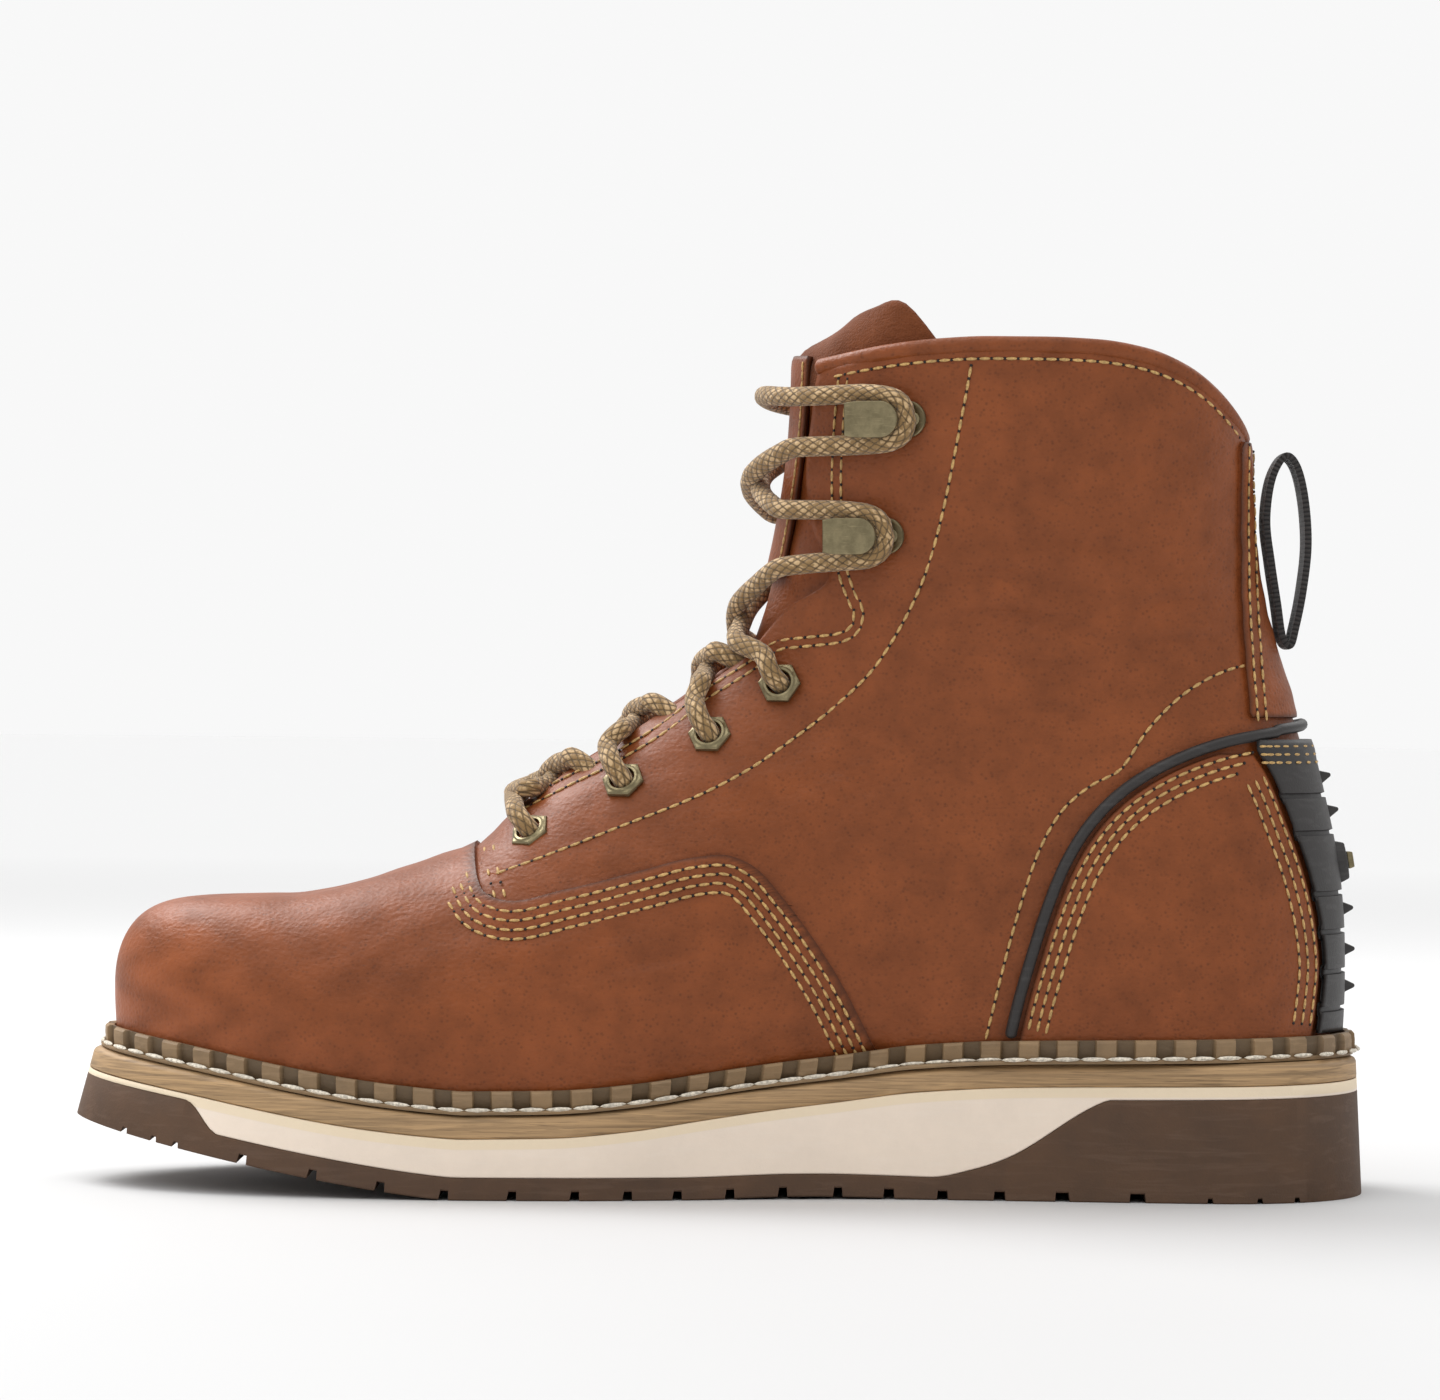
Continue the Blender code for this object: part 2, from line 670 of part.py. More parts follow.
def make_top_midsole(material):
    """The tan slab under the welt, with a sloping edge above its upright side."""
    stations = sole_stations()
    low = sole_top(stations) - SLAB + GAP
    side = sole_top(stations) - SLAB_BEVEL
    high = sole_top(stations) - WELT_FLANGE_THICKNESS - GAP
    low_up, side_up = level_share(stations, low), level_share(stations, side)
    bevel = 1.8 * MM
    corners = [
        sole_point(stations, "inner", low_up, low),
        sole_point(stations, "outer", low_up, low),
        sole_point(stations, "outer", side_up, side),
        shrunk(sole_point(stations, "outer", 1.0, high), stations, bevel),
        shrunk(sole_point(stations, "inner", 1.0, high), stations, bevel),
        sole_point(stations, "inner", side_up, side),
    ]
    return add_object("top_midsole", ladder_mesh("top_midsole", np.stack(corners, axis=1)), material)


def shrunk(points, stations, by):
    """Sole points drawn in from the outline by a small step, round the ends too."""
    points = points.copy()
    ends = np.cos(math.pi * stations) ** 8 * np.sign(0.5 - stations)
    points[:, 0] += by * ends
    reach = np.abs(points[:, 1])
    points[:, 1] *= np.maximum(reach - by, 0.02 * MM) / np.maximum(reach, 0.02 * MM)
    return points


def feather_path(offset, up, where):
    """Points round the upper at a height over the sole, at shares of the feather line's length.

    They run from the front along the inner side and back, and stand off the leather by an offset.
    """
    ring = FEATHER_RING.copy()
    for _ in range(4):
        ring[:, 2] = feather_height(ring[:, 0]) + max(up, 0)
        ring = settle(ring, free=(1, 1, 0), steps=6)
    normal = last_normal(ring) * (1, 1, 0)
    normal /= np.linalg.norm(normal, axis=1, keepdims=True)
    lengths = np.concatenate([[0], np.cumsum(np.linalg.norm(np.diff(closed(FEATHER_RING), axis=0), axis=1))])
    at = where * lengths[-1]
    on_line = np.column_stack([np.interp(at, lengths, axis) for axis in closed(ring).T])
    out = np.column_stack([np.interp(at, lengths, axis) for axis in closed(normal).T])
    path = on_line + out * np.reshape(offset, (-1, 1))
    path[:, 2] = feather_height(path[:, 0]) + up
    return path


def closed(ring):
    return np.vstack([ring, ring[:1]])


def covering(x):
    """How far the vamp, pockets and guard stand out over the quarters at the feather line."""
    vamp, pocket, guard = VAMP_EDGE[-1][0], PIPING_PATH[0][0], POCKET_BACK[-1][0]
    places = np.array([vamp + 0.004, vamp + 0.012, pocket - 0.008, pocket, guard - 0.014, guard - 0.004])
    thick = (OVERLAY, 0, 0, POCKET + GAP, POCKET + GAP, GUARD_THICKNESS + GAP)
    return np.interp(x, places * SOLE_LENGTH, thick)


def make_welt(material):
    """Storm welt: a flat flange under the stitches and a low rib with blocks along its outer face."""
    length = np.linalg.norm(np.diff(FEATHER_RING, axis=0, append=FEATHER_RING[:1]), axis=1).sum()
    blocks = round(length / BLOCK_PITCH)
    width = BLOCK_WIDTH / length
    where, depth = [], []
    for b in range(blocks):
        centre = (b + 0.5) / blocks
        for place, stands in ((-0.5, 0), (-0.5, 1), (0.5, 1), (0.5, 0)):
            where.append(centre + place * width)
            depth.append(stands * BLOCK_DEPTH)
    where, depth = np.array(where), np.array(depth)
    inner = 1.6 * GAP + covering(feather_path(0.0, 0.0, where)[:, 0])
    rib = inner + WELT_RIB
    lip = -WELT_FLANGE_THICKNESS
    edge = GAP + WELT_RIB + WELT_FLANGE
    face = [
        feather_path(inner, lip, where),
        feather_path(edge, lip, where),
        feather_path(edge, 0.0, where),
        feather_path(rib + depth, 0.0, where),
        feather_path(rib + depth, WELT_HEIGHT, where),
        feather_path(inner, WELT_HEIGHT, where),
    ]
    return add_object("welt", ring_mesh("welt", np.stack(face, axis=1)), material)


def make_insole(material):
    """Footbed on the midsole, just inside the upper's wall."""
    stations = sole_stations()
    x = UPPER_TOE + (WALL + 3 * GAP) + stations * (UPPER_HEEL - UPPER_TOE - 2 * (WALL + 3 * GAP))
    ledge = FEATHER_LEDGE + WALL + 4 * GAP
    low = feather_height(x)
    corners = []
    for side, up in (("inner", 0), ("outer", 0), ("outer", 1), ("inner", 1)):
        y = np.maximum(0.97 * half_width(stations, side, ledge), 0.02 * MM)
        z = low + up * INSOLE_THICKNESS
        corners.append(np.stack([x, -y if side == "inner" else y, z], axis=1))
    return add_object("insole", ladder_mesh("insole", np.stack(corners, axis=1)), material)


def prism(name, outline, y_low, y_high):
    """A cutter: a side view outline, drawn out across the boot."""
    count = len(outline)
    points = [(x, y, z) for y in (y_low, y_high) for x, z in outline]
    faces = [tuple(range(count)), tuple(reversed(range(count, 2 * count)))]
    faces += [(i, (i + 1) % count, count + (i + 1) % count, count + i) for i in range(count)]
    cutter = bpy.data.objects.new(name, mesh_of(name, points, faces))
    cutters = bpy.data.collections.get("Cutters") or bpy.data.collections.new("Cutters")
    if cutters.name not in bpy.context.scene.collection.children:
        bpy.context.scene.collection.children.link(cutters)
    cutters.objects.link(cutter)
    cutter.hide_render = True
    cutter.display_type = "WIRE"
    return cutter


def boolean(obj, operation, other):
    modifier = obj.modifiers.new(operation.title(), "BOOLEAN")
    modifier.operation = operation
    modifier.object = other
    return obj


def applied(obj):
    """The object with its modifiers applied to its mesh, and the slivers of its cuts closed."""
    graph = bpy.context.evaluated_depsgraph_get()
    mesh = bpy.data.meshes.new_from_object(obj.evaluated_get(graph))
    mesh.name = obj.name
    work = bmesh.new()
    work.from_mesh(mesh)
    bmesh.ops.remove_doubles(work, verts=work.verts, dist=SLIVER)
    bmesh.ops.dissolve_degenerate(work, edges=work.edges, dist=SLIVER)
    work.to_mesh(mesh)
    work.free()
    obj.modifiers.clear()
    obj.data = mesh
    return obj


def form_between(name, low, high, cells=None, material=None):
    """The larger form that overlays are cut from: the upper's wall from one offset to another."""
    cells = LEATHER if cells is None else cells
    rings, normals = GRID.copy(), NORMALS.copy()
    if low > -WALL:
        rings[0] += (rings[1] - rings[0]) * 0.08
    outer, inner = rings + normals * high, rings + normals * low
    return add_object(name, sheet_mesh(name, outer, inner, cells, around=True), material)


def cut_form(name, low, high, outline, y_low, y_high, cells, material):
    obj = form_between(name, low, high, cells, material)
    cutter = prism(name + "_cutter", outline, y_low, y_high)
    return applied(boolean(obj, "INTERSECT", cutter))


def cells_block(first_step, last_step, first_row=0, last_row=None):
    """The leather cells of a block of rings, between two columns counted from the front on each side."""
    columns = np.arange(2 * COLUMNS_PER_SIDE)
    step = np.minimum(columns, 2 * COLUMNS_PER_SIDE - 1 - columns)
    block = np.zeros_like(LEATHER)
    block[first_row:last_row] = (step >= first_step) & (step < last_step)
    return LEATHER & block


def make_upper(material):
    """Vamp, quarters and backstay as one hollow wall, with the vamp and the backstay standing proud."""
    upper = form_between("upper", -WALL, 0.0, material=material)
    sunk = -0.5 * WALL
    edge = seen(VAMP_EDGE)
    ahead = -0.6 * SOLE_LENGTH
    outline = [*edge, (edge[-1][0], -10 * MM), (ahead, -10 * MM), (ahead, edge[0][1]), ]
    near = cells_block(0, 13, 0, len(TOE_RINGS) + 4)
    vamp = cut_form("vamp_overlay", sunk, OVERLAY, outline, -0.1, 0.1, near, None)
    edge = seen(BACKSTAY_EDGE)
    behind = 0.6 * SOLE_LENGTH
    outline = [*edge, (behind, edge[-1][1]), (behind, edge[0][1])]
    back = cells_block(12, 18, 4)
    stay = cut_form("backstay_overlay", sunk, OVERLAY, outline, -0.1, 0.1, back, None)
    for overlay in (vamp, stay):
        boolean(upper, "UNION", overlay)
        upper = applied(upper)
        bpy.data.objects.remove(overlay)
    return upper


def make_pocket(side, material):
    """Leather counter pocket on one side of the heel."""
    outline = [*beside(seen(PIPING_PATH, 12), PIPING_RADIUS + 3 * GAP)[:-2], *seen(POCKET_BACK)]
    name = "counter_pocket_" + ("inner" if side < 0 else "outer")
    near = cells_block(8, 18, 0, len(TOE_RINGS) + 5)
    low, high = sorted((side * 4 * MM, side * 0.1))
    pocket = cut_form(name, GAP, GAP + POCKET, outline, low, high, near, material)
    return pocket


def make_piping(material):
    """Round bead from the welt up the front of the counter, round the back and down again."""
    path = seen(PIPING_PATH, 15)
    path = path[path[:, 1] > feather_height(path[:, 0]) + WELT_HEIGHT + 2 * GAP + PIPING_RADIUS]
    offset = GAP + PIPING_RADIUS
    inner = on_upper(path[:, 0], path[:, 1], -1, offset)
    outer = on_upper(path[:, 0], path[:, 1], 1, offset)
    start, end = inner[-1], outer[-1]
    angle = math.pi * np.linspace(0, 1, 10)[1:-1]
    around = (start + end) / 2 + np.outer(np.sin(angle), (22 * MM, 0, 1.5 * MM))
    around[:, 1] = start[1] * np.cos(angle)
    around = settle(around, free=(1, 1, 0))
    around += last_normal(around) * offset
    return tube("piping", [*inner, *around, *outer[::-1]], PIPING_RADIUS, material, 2)


def tube(name, points, radius, material, resolution=2, closed=False):
    """A round rod along points, as a curve with filled caps."""
    curve = bpy.data.curves.new(name, "CURVE")
    curve.dimensions = "3D"
    curve.bevel_depth = radius
    curve.bevel_resolution = resolution
    curve.use_fill_caps = not closed
    spline = curve.splines.new("POLY")
    spline.points.add(len(points) - 1)
    for point, place in zip(spline.points, points):
        point.co = (*place, 1)
    spline.use_cyclic_u = closed
    obj = bpy.data.objects.new(name, curve)
    parts_collection().objects.link(obj)
    curve.materials.append(material)
    return obj


def as_mesh(obj):
    """A mesh object in place of a curve, with its caps welded."""
    graph = bpy.context.evaluated_depsgraph_get()
    mesh = bpy.data.meshes.new_from_object(obj.evaluated_get(graph))
    work = bmesh.new()
    work.from_mesh(mesh)
    bmesh.ops.remove_doubles(work, verts=work.verts, dist=0.01 * MM)
    work.to_mesh(mesh)
    work.free()
    name, matrix = obj.name, obj.matrix_world.copy()
    bpy.data.objects.remove(obj)
    mesh.name = name
    solid = bpy.data.objects.new(name, mesh)
    solid.matrix_world = matrix
    parts_collection().objects.link(solid)
    return solid


def make_guard(material, stud_material):
    """Ribbed rubber guard over the back of the heel, with pointed studs and a hexagonal boss."""
    edge = seen(POCKET_BACK)
    behind = 0.6 * SOLE_LENGTH
    top = level(PIPING_PATH[-1][1]) - PIPING_RADIUS - 2 * GAP
    shift = 2 * GAP
    low = feather_height(0.45 * SOLE_LENGTH) + WELT_HEIGHT + 2 * GAP
    outline = [(edge[0][0] + shift, top), *[(x + shift, z + GAP) for x, z in edge if z > low]]
    outline += [(np.interp(low, edge[::-1, 1], edge[::-1, 0]) + shift, low), (behind, low), (behind, top)]
    back = cells_block(11, 18, 0, len(TOE_RINGS) + 6)
    guard = cut_form("heel_guard", GAP, GAP + GUARD_THICKNESS, outline, -0.1, 0.1, back, material)
    for number, share in enumerate(RIBS):
        z = level(share)
        step = GUARD_RIB_GAP / 2
        x = float(settle(np.array([0.47 * SOLE_LENGTH, 0, z]), free=(1, 0, 0))[0])
        cut = [(x + 1.4 * MM, z - step), (behind, z - step), (behind, z + step), (x + 1.4 * MM, z + step)]
        cutter = prism(f"rib_gap_{number}", cut, -0.1, 0.1)
        guard = applied(boolean(guard, "DIFFERENCE", cutter))
    for number, share in enumerate(STUD_LEVELS):
        stud = cone_on_back(f"stud_{number}", level(share), 4, STUD_WIDTH / 2, 0.4 * MM, STUD_HEIGHT)
        boolean(guard, "UNION", stud)
        guard = applied(guard)
        bpy.data.objects.remove(stud)
    boss = cone_on_back("boss", level(BOSS_LEVEL), 6, 6.2 * MM, 5 * MM, 2 * MM)
    boolean(guard, "UNION", boss)
    guard = applied(guard)
    bpy.data.objects.remove(boss)
    cap = cone_on_back("boss_cap", level(BOSS_LEVEL), 4, 3 * MM, 2.6 * MM, 1.4 * MM, lift=2 * MM + GAP)
    cap.data.materials.append(stud_material)
    return guard, cap


def cone_on_back(name, z, sides, low_radius, high_radius, height, lift=0.0):
    """A cone or prism that stands out of the guard's middle line at a height."""
    point = settle(np.array([0.47 * SOLE_LENGTH, 0, z]), free=(1, 0, 0))
    normal = Vector(last_normal(point))
    sunk = 0.0 if lift else 1.2 * MM
    mesh = bpy.data.meshes.new(name)
    work = bmesh.new()
    bmesh.ops.create_cone(
        work,
        cap_ends=True,
        segments=sides,
        radius1=low_radius,
        radius2=high_radius,
        depth=height + sunk,
    )
    bmesh.ops.rotate(work, verts=work.verts, matrix=Matrix.Rotation(math.pi / sides, 3, "Z"))
    middle = GAP + GUARD_THICKNESS + lift + (height - sunk) / 2
    place = Matrix.Translation(Vector(point) + normal * middle)
    turn = normal.to_track_quat("Z", "Y").to_matrix().to_4x4()
    bmesh.ops.transform(work, matrix=place @ turn, verts=work.verts)
    work.to_mesh(mesh)
    work.free()
    return add_object(name, mesh, None)


def make_binding(material):
    """Rolled leather edge along the top of the collar, from one side of the throat to the other."""
    ring = GRID[-1]
    half = COLUMNS_PER_SIDE
    middle = ring - NORMALS[-1] * WALL / 2
    middle[:, 2] += GAP + BINDING_RADIUS
    path = middle[THROAT_COLUMN : 2 * half - THROAT_COLUMN + 1]
    dense = smooth_path(path, 40)
    return tube("collar_binding", dense, BINDING_RADIUS, material, 2)


def smooth_path(points, count):
    points = np.array(points, float)
    lengths = np.concatenate([[0], np.cumsum(np.linalg.norm(np.diff(points, axis=0), axis=1))])
    even = np.linspace(0, lengths[-1], count)
    smooth = Table("at x y z", *np.column_stack([lengths, points]))
    return np.column_stack([smooth.read(axis, even) for axis in "xyz"])


def tongue_surface():
    """Outer face of the tongue, row by row from under the vamp to above the collar, and its pad."""
    base = len(TOE_RINGS) - 2
    rows, across = [], 11
    ends = ring_ends()
    for k in range(base, len(ends)):
        widen = np.clip((k - base) / (len(ends) - 1 - base), 0, 1)
        half_angle = 0.50 + 0.22 * widen
        row = []
        front_x, front_z, back_z = ends[k]
        for share in np.linspace(-1, 1, across):
            angle = abs(share) * half_angle * math.pi / 2
            along = (1 - math.cos(angle)) / 2
            y = math.copysign(0.42 * COLLAR_WIDTH * math.sin(angle), share)
            row.append((front_x + (UPPER_HEEL - front_x) * along, y, front_z + (back_z - front_z) * along * 0.6))
        rows.append(row)
    grid = settle(np.array(rows, float))
    top = grid[-1].copy()
    shares = np.abs(np.linspace(-1, 1, across))
    top[:, 2] = np.minimum(top[:, 2], collar_line(top[:, 0]))
    lifted = top.copy()
    lifted[:, 2] += TONGUE_RISE * (0.25 + 0.75 * np.sin(math.pi * shares**1.5 * 0.8))
    lifted[:, 0] += 2 * MM
    normal = last_normal(grid)
    return grid, normal, lifted, shares


def make_tongue(material):
    """Padded tongue: it starts under the vamp, lies behind the eyestays and stands above the collar."""
    grid, normal, lifted, shares = tongue_surface()
    flat = TONGUE_SINK * (1 - shares**2)
    outer = grid - normal * (WALL + 3 * GAP + flat)[None, :, None]
    low_rows = np.linspace(1, 0, 7)
    for row, share in enumerate(low_rows):
        outer[row] -= normal[row] * (1.2 * MM * share)
    pad = TONGUE_EDGE + (TONGUE_PAD - TONGUE_EDGE) * (1 - shares**3)
    inner = outer - normal * pad[None, :, None]
    top_outer = lifted - normal[-1] * (WALL + 3 * GAP + flat)[:, None]
    top_inner = top_outer - normal[-1] * (0.7 * pad)[:, None]
    outer = np.concatenate([outer, top_outer[None]])
    inner = np.concatenate([inner, top_inner[None]])
    cells = np.ones((outer.shape[0] - 1, outer.shape[1] - 1), bool)
    return add_object("tongue", sheet_mesh("tongue", outer, inner, cells), material)


def make_patch(material):
    """Leather patch stitched to the front of the tongue, its lower end standing free."""
    grid, normal, _, shares = tongue_surface()
    middle = slice(len(shares) // 2 - 2, len(shares) // 2 + 3)
    sunk = (WALL + 3 * GAP + TONGUE_SINK * (1 - shares**2))[middle, None]
    face = grid[-5:, middle] - normal[-5:, middle] * sunk
    inner = face + normal[-5:, middle] * 1.5 * GAP
    outer = face + normal[-5:, middle] * (1.5 * GAP + PATCH_THICKNESS)
    cells = np.ones((outer.shape[0] - 1, outer.shape[1] - 1), bool)
    return add_object("tongue_patch", sheet_mesh("tongue_patch", outer, inner, cells), material)


def frame_at(point, normal, up=(0, 0, 1)):
    """A matrix whose Z is the normal at a point and whose X lies along the upper, towards the heel."""
    z = Vector(normal).normalized()
    x = Vector(up).cross(z)
    if x.x < 0:
        x = -x
    x.normalize()
    y = z.cross(x)
    return Matrix(((x.x, y.x, z.x, point[0]), (x.y, y.y, z.y, point[1]), (x.z, y.z, z.z, point[2]), (0, 0, 0, 1)))


def seat_on_upper(upper, x, z, side, reach):
    """A frame on the upper's face, turned to it, that a flat plate of a radius clears by the gap."""
    point = on_upper(x, z, side)
    normal = Vector(last_normal(point))
    high = 8 * MM
    frame = frame_at(Vector(point) + normal * high, normal)
    turns = np.linspace(0, 2 * math.pi, 24, endpoint=False)
    rim = [frame @ Vector((r * math.cos(a), r * math.sin(a), 0)) for a in turns for r in (0.5 * reach, reach)]
    hits = [upper.ray_cast(start, -normal)[3] for start in rim]
    lift = high - min(hit for hit in hits if hit is not None) + GAP
    return frame_at(Vector(point) + normal * lift, normal)


def surface_tree(obj):
    tree = bmesh.new()
    tree.from_mesh(obj.data)
    found = BVHTree.FromBMesh(tree)
    tree.free()
    return found


def make_eyelet(upper, number, side, material):
    """Hexagonal eyelet: a flat washer on the face of the eyestay."""
    x, z = seen([EYELETS[number]])[0]
    frame = seat_on_upper(upper, x, z, side, EYELET_RADIUS)
    name = f"eyelet_{'inner' if side < 0 else 'outer'}_{number + 1}"
    turns = np.linspace(0, 2 * math.pi, 6, endpoint=False)
    section = ((EYELET_HOLE, 0), (EYELET_RADIUS, 0), (EYELET_RADIUS, EYELET_THICKNESS), (EYELET_HOLE, EYELET_THICKNESS))
    rings = [[frame @ Vector((r * math.cos(a), r * math.sin(a), up)) for r, up in section] for a in turns]
    return add_object(name, ring_mesh(name, np.array(rings)), material)


def make_hook(upper, number, side, material):
    """Speed hook: a base on the eyestay, a neck and a plate that holds the lace against it."""
    x, z = seen([HOOKS[number]])[0]
    frame = seat_on_upper(upper, x, z, side, 0.5 * HOOK_LENGTH)
    name = f"hook_{'inner' if side < 0 else 'outer'}_{number + 1}"
    base_back, neck = 0.78 * HOOK_LENGTH, 0.26 * HOOK_LENGTH
    front = -0.55 * HOOK_LENGTH
    plate = HOOK_PLATE + HOOK_GAP
    profile = (
        (base_back, 0),
        (base_back, HOOK_PLATE),
        (neck + HOOK_PLATE, HOOK_PLATE),
        (neck + HOOK_PLATE, plate + HOOK_PLATE),
        (front, plate + HOOK_PLATE),
        (front, plate),
        (neck, plate),
        (neck, HOOK_PLATE),
        (-0.2 * HOOK_LENGTH, HOOK_PLATE),
        (-0.2 * HOOK_LENGTH, 0),
    )
    sections = []
    for y in (-0.5, -0.3, 0.3, 0.5):
        taper = 1 - 0.22 * (abs(y) > 0.4)
        tapered = [(u * taper if u in (base_back, front) else u, v) for u, v in profile]
        sections.append([frame @ Vector((u, y * HOOK_WIDTH, v)) for u, v in tapered])
    return add_object(name, ladder_mesh(name, np.array(sections)), material)


def lace_place(number, side):
    """Where the lace leaves an eyelet or a hook, in the middle of its own thickness."""
    x, z = seen([(*EYELETS, *HOOKS)[number]])[0]
    lift = EYELET_THICKNESS if number < len(EYELETS) else HOOK_PLATE
    return on_upper(x, z, side, lift + LACE_DIAMETER / 2 + 3 * GAP)


def over_throat(start, end, part, raised):
    """Points of a strand over the tongue, for a part of its way, held clear of the leather."""
    share = np.linspace(*part, 8)[:, None]
    rest = settle(start + (end - start) * share, free=(1, 0, 1))
    middle = np.sin(math.pi * np.clip(share, 0, 1))
    near_end = np.abs(share - 0.5) * 2
    clear = LACE_DIAMETER / 2 + 2.5 * GAP + EYELET_THICKNESS * near_end**3
    rest += last_normal(rest) * (clear + raised * middle**2)
    return smooth_path(rest, 9)


def settled_on(upper, rod, way):
    """The rod moved along a way until it clears the upper by the gap."""
    gap = min(upper.find_nearest(corner.co)[3] for corner in rod.data.vertices)
    rod.data.transform(Matrix.Translation(Vector(way).normalized() * (gap - GAP)))
    return rod


def make_laces(upper, material):
    """The strands over the tongue: a joined cross above each pair, and a bar at the top hooks."""
    made = []
    last = len(EYELETS) + len(HOOKS) - 1
    for low in range(last):
        strands = []
        for side in (-1, 1):
            part = (0.13, 0.66) if low < len(EYELETS) else (0.16, 0.84)
            raised = 0.4 * MM if side < 0 else 0.57 * LACE_DIAMETER
            route = over_throat(lace_place(low, side), lace_place(low + 1, -side), part, raised)
            rod = tube(f"strand_{low}_{side}", route, LACE_DIAMETER / 2, material, 1)
            strands.append(as_mesh(rod))
        first, second = strands
        boolean(first, "UNION", second)
        made.append(applied(first))
        bpy.data.objects.remove(second)
        first.name = f"lace_cross_{low + 1}"
        settled_on(upper, first, (0.5, 0, -1) if low < 3 else (1, 0, -0.4))
    ends = [lace_place(last, side) + (-4 * MM, 0, 1.1 * LACE_DIAMETER) for side in (-1, 1)]
    route = over_throat(*ends, (0.08, 0.92), 1.1 * MM)
    bar = as_mesh(tube("lace_top_bar", route, LACE_DIAMETER / 2, material, 1))
    made.append(settled_on(upper, bar, (1, 0, -0.4)))
    return made


def make_loop(material):
    """Webbing pull loop sewn to the backstay, standing out behind it."""
    foot = settle(np.array([0.44 * SOLE_LENGTH, 0, level(0.665)]), free=(1, 0, 0))
    low = Vector(foot + last_normal(foot) * (OVERLAY + 1.5 * GAP))
    shape = (
        (0.1, 0.0),
        (-1.2, 8.0),
        (-2.8, 18.0),
        (-4.0, 28.0),
        (-2.8, 38.0),
        (0.3, 43.5),
        (3.2, 41.0),
        (5.2, 33.0),
        (6.0, 22.0),
        (4.9, 11.0),
        (3.3, 2.5),
        (2.0, -2.0),
    )
    centre = np.array([(low.x + (0.9 + u) * MM, low.z + v * MM) for u, v in shape])
    closed = np.vstack([centre, centre[:1]])
    way = np.gradient(closed, axis=0)[:-1]
    way[0] = closed[1] - closed[-2]
    across = np.column_stack([way[:, 1], -way[:, 0]])
    across /= np.linalg.norm(across, axis=1, keepdims=True)
    sections = []
    for point, out in zip(centre, across):
        near, far = point - out * LOOP_THICKNESS / 2, point + out * LOOP_THICKNESS / 2
        half = LOOP_WIDTH / 2
        sections.append([(near[0], -half, near[1]), (far[0], -half, far[1]), (far[0], half, far[1]), (near[0], half, near[1])])
    return add_object("pull_loop", ring_mesh("pull_loop", np.array(sections)), material)


def main():
    for obj in list(bpy.data.objects):
        bpy.data.objects.remove(obj)
    leather = finish_material("Tan leather", (0.36, 0.13, 0.05), 0.45)
    suede = finish_material("Tongue leather", (0.30, 0.10, 0.04), 0.8)
    brown = finish_material("Brown rubber", (0.10, 0.07, 0.05), 0.75)
    cream = finish_material("Cream foam", (0.80, 0.70, 0.55), 0.7)
    tan = finish_material("Tan rubber", (0.30, 0.21, 0.12), 0.7)
    black = finish_material("Black rubber", (0.03, 0.03, 0.035), 0.5)
    webbing = finish_material("Black webbing", (0.02, 0.02, 0.02), 0.9)
    brass = finish_material("Aged brass", (0.30, 0.26, 0.17), 0.35, 1.0)
    cord = finish_material("Lace", (0.45, 0.33, 0.15), 0.8)
    board = finish_material("Footbed", (0.25, 0.16, 0.10), 0.9)
    global GRID, LEATHER, NORMALS, FEATHER_RING
    GRID, LEATHER = upper_grid()
    NORMALS = last_normal(GRID)
    FEATHER_RING = GRID[0]
    make_outsole(brown)
    make_cream_midsole(cream)
    make_top_midsole(tan)
    make_welt(tan)
    make_insole(board)
    upper = surface_tree(make_upper(leather))
    for side in (-1, 1):
        make_pocket(side, leather)
    make_piping(black)
    make_guard(black, brass)
    make_binding(leather)
    make_tongue(suede)
    make_patch(leather)
    make_loop(webbing)
    for side in (-1, 1):
        for number in range(len(EYELETS)):
            make_eyelet(upper, number, side, brass)
        for number in range(len(HOOKS)):
            make_hook(upper, number, side, brass)
    make_laces(upper, cord)
    widths = [half_width(np.linspace(0, 1, 400), side).max() for side in ("inner", "outer")]
    for obj in list(parts_collection().objects):
        obj.location.y += (widths[0] - widths[1]) / 2


main()
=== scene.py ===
"""Looks of the wedge sole work boot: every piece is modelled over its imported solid, in the same place."""

import math

import bmesh
import bpy
import numpy as np
from bpy.props import FloatProperty, FloatVectorProperty, PointerProperty
from mathutils import Matrix, Vector


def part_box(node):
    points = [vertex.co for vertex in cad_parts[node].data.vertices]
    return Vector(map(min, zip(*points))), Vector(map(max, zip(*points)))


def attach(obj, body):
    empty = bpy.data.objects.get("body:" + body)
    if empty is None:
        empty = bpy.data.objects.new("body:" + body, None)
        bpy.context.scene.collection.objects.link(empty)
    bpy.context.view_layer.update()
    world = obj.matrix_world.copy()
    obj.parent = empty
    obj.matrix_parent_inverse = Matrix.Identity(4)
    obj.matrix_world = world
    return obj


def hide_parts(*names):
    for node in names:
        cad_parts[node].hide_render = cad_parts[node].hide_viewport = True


bl_info = {
    "name": "Wedge sole work boot",
    "version": (1, 0, 0),
    "blender": (4, 5, 0),
    "location": "View3D > Sidebar > Boot",
    "description": "Models and finishes a leather work boot on its packed solids",
    "category": "Mesh",
}

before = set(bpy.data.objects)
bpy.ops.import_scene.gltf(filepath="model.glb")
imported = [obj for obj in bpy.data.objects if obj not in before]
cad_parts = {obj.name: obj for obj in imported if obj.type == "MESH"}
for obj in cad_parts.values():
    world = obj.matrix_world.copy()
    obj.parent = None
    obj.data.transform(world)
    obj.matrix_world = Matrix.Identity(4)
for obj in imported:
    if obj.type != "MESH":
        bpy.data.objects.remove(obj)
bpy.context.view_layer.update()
MM = 0.001

